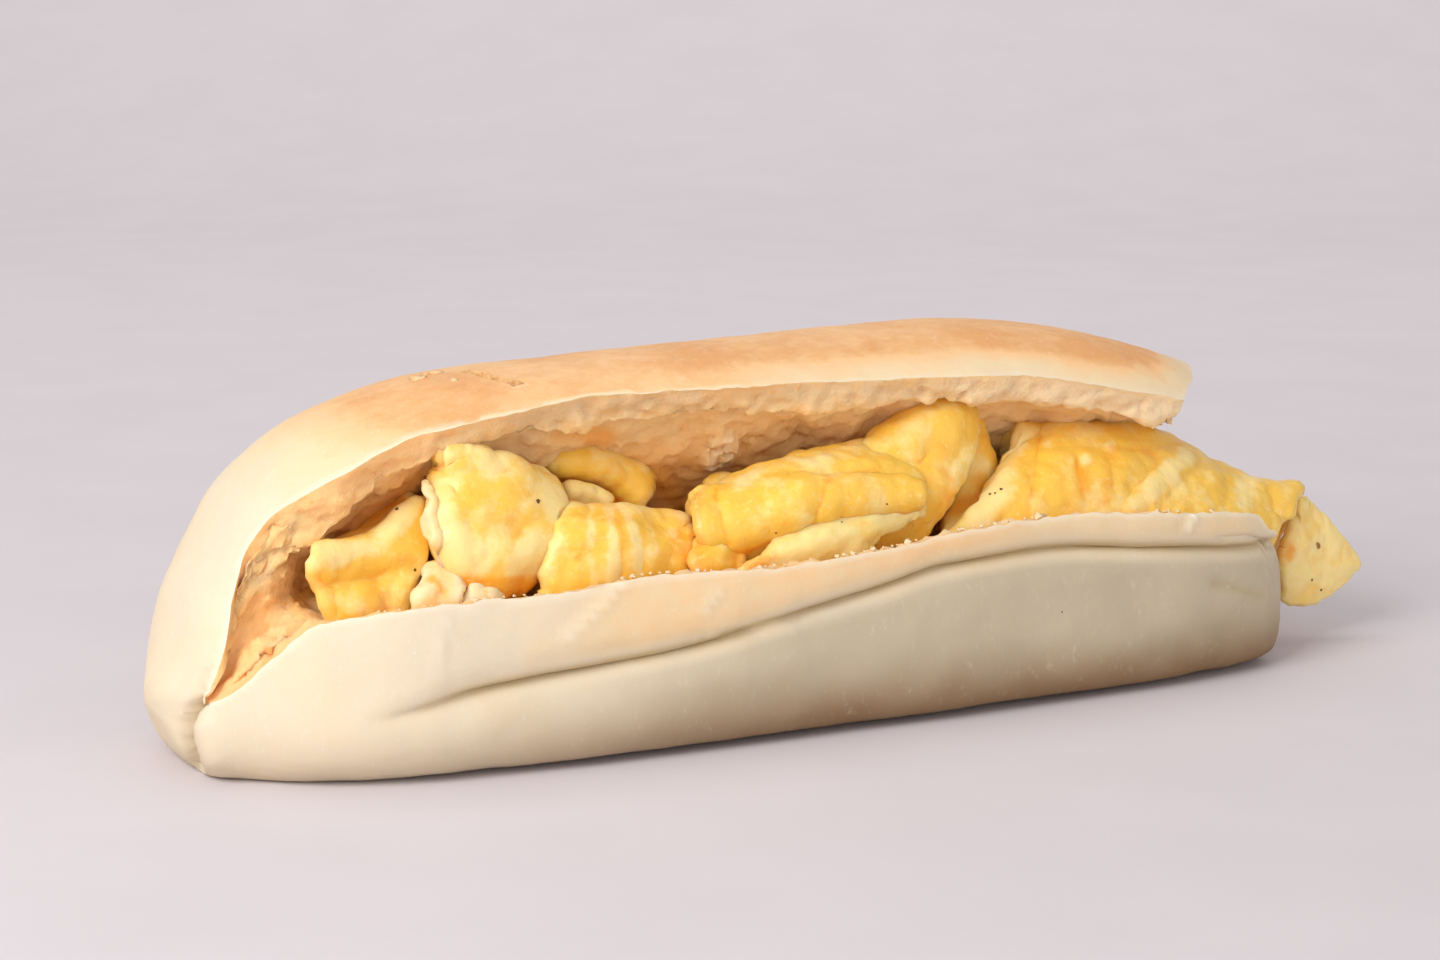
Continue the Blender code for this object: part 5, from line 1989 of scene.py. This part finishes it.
@dataclass
class Studio:
    """A plain pale sweep, a soft key from the upper left and a pale surround."""

    floor_colour: Colour = (0.67, 0.62, 0.64)
    world_colour: Colour = (1.0, 0.985, 0.99)
    world_strength: float = 0.48
    key_power: float = 4.9
    key_size: float = 0.42
    key_from: Point = (-0.62, -0.30, 0.46)
    fill_power: float = 2.5
    fill_size: float = 0.8
    fill_from: Point = (-0.28, -0.92, 0.07)
    side_power: float = 1.0
    side_size: float = 0.6
    side_from: Point = (0.62, -0.8, 0.28)
    back_power: float = 10.5
    back_size: float = 1.6
    back_from: Point = (0.25, 0.55, 1.3)
    back_to: Point = (0.75, 1.6, 0.45)
    floor_near: float = -3.0
    floor_far: float = 0.75
    sweep_radius: float = 0.9
    sweep_steps: int = 16
    sweep_height: float = 4.0
    half_width: float = 5.0

    def sweep(self) -> None:
        """The floor, which rises far behind as a backdrop."""
        radius, start = self.sweep_radius, self.floor_far
        profile = [(self.floor_near, 0.0), (start, 0.0)]
        for i in range(1, self.sweep_steps + 1):
            a = math.radians(90) * i / self.sweep_steps
            profile.append((start + radius * math.sin(a), radius * (1 - math.cos(a))))
        profile.append((start + radius, self.sweep_height))
        turn = math.radians(VIEW.azimuth)
        bm = bmesh.new()
        rows = []
        for side in (-self.half_width, self.half_width):
            row = []
            for depth, height in profile:
                x = side * math.cos(turn) - depth * math.sin(turn)
                y = side * math.sin(turn) + depth * math.cos(turn)
                row.append(bm.verts.new((x, y, height)))
            rows.append(row)
        for a, b, c, d in zip(rows[0], rows[1], rows[1][1:], rows[0][1:]):
            bm.faces.new((a, b, c, d))
        mesh = bpy.data.meshes.new(FLOOR_NAME)
        bm.to_mesh(mesh)
        bm.free()
        mesh.shade_smooth()
        floor = add_object(FLOOR_NAME, mesh)
        n = Nodes(FLOOR_NAME)
        colour = n.mix(n.span(n.noise(40, 3), 0.3, 0.7), self.floor_colour,
                       tuple(c * 1.03 for c in self.floor_colour))
        floor.data.materials.append(n.finish(colour, 0.75, n.bump(n.noise(2, 3), 0.05, 0.1),
                                             0.0, (1, 1, 1), 0.3))

    def lamp(self, name: str, place: Point, power: float, size: float,
             target: Point = (0, 0, 0)) -> None:
        """A square soft light that faces a target.

        Args:
            name: Its name.
            place: Where it stands, in metres.
            power: Its power in watts.
            size: Its side in metres.
            target: What it faces.
        """
        data = bpy.data.lights.new(name, "AREA")
        data.energy = power
        data.size = size
        lamp = bpy.data.objects.new(name, data)
        lamp.location = place
        way = Vector(target) - Vector(place)
        lamp.rotation_euler = way.to_track_quat("-Z", "Y").to_euler()
        bpy.context.scene.collection.objects.link(lamp)

    def build(self) -> None:
        """Makes floor and lights."""
        self.sweep()
        self.lamp("key_light", self.key_from, self.key_power, self.key_size)
        self.lamp("fill_light", self.fill_from, self.fill_power, self.fill_size)
        self.lamp("side_light", self.side_from, self.side_power, self.side_size)
        self.lamp("backdrop_light", self.back_from, self.back_power, self.back_size,
                  self.back_to)
        world = bpy.data.worlds.new("surround")
        bpy.context.scene.world = world
        world.use_nodes = True
        background = world.node_tree.nodes["Background"]
        background.inputs["Color"].default_value = (*self.world_colour, 1)
        background.inputs["Strength"].default_value = self.world_strength
        bpy.context.scene.view_settings.view_transform = "Standard"


SHRED_FINISH = EggFinish("pale_shred", yellow=(0.97, 0.62, 0.26), pale=(0.97, 0.74, 0.45),
                         orange=(0.95, 0.44, 0.08), rim=(0.97, 0.78, 0.54))
PEPPER = PlainFinish("pepper", (0.10, 0.06, 0.03), (0.16, 0.08, 0.03), 0.6)
SCORCHED = PlainFinish("scorched_egg", (0.30, 0.12, 0.04), (0.42, 0.18, 0.05), 0.5)
FLAKE = PlainFinish("crust_flakes", (0.90, 0.62, 0.34), (0.80, 0.45, 0.20), 0.7)
LOOSE = PlainFinish("loose_crumbs", (0.90, 0.68, 0.42), (0.90, 0.62, 0.34), 0.8)
PEPPER_AT: tuple[Point, ...] = (
    (397, 509, 0.3), (415, 570, 0.24), (538, 501, 0.34), (990, 494, 0.24), (995, 493, 0.2),
    (1001, 489, 0.26), (776, 533, 0.18), (887, 504, 0.16), (842, 522, 0.16),
    (1062, 612, 0.14), (1312, 580, 0.22), (1321, 590, 0.24))
SCORCHED_AT: Point = (1318, 546, 0.8)
FLAKES_AT: tuple[Point, ...] = ((417, 379, 1.1), (425, 375, 0.8), (437, 373, 1.0),
                                (454, 380, 0.7))
LIP_CRUMBS_FROM, LIP_CRUMBS_TO, LIP_CRUMB_SPACING = -80.0, 82.0, 1.5


def main() -> None:
    """Builds the roll, its filling, the camera and the studio."""
    VIEW.build()
    Studio().build()
    BreadRoll().build(CrustFinish().build(), CrumbFinish().build(), TornFinish().build())
    by_slot = {Slot.EGG: EggFinish().build(), Slot.SHRED: SHRED_FINISH.build()}
    for piece in EGG_PIECES:
        piece.build(by_slot[piece.slot])
    Scraps("pepper_specks", Slot.EGG, 0.45).build(Scraps.under(*PEPPER_AT), PEPPER.build())
    Scraps("scorched_spot", Slot.EGG, 0.2).build(Scraps.under(SCORCHED_AT), SCORCHED.build())
    Scraps("crust_flakes", Slot.BREAD, 0.4, 0.8).build(Scraps.under(*FLAKES_AT), FLAKE.build())
    Scraps("lip_crumbs", Slot.BREAD, 0.6, 1.4).build(
        Scraps.along_lip(LIP_CRUMBS_FROM, LIP_CRUMBS_TO, LIP_CRUMB_SPACING), LOOSE.build())


if __name__ == "__main__":
    main()
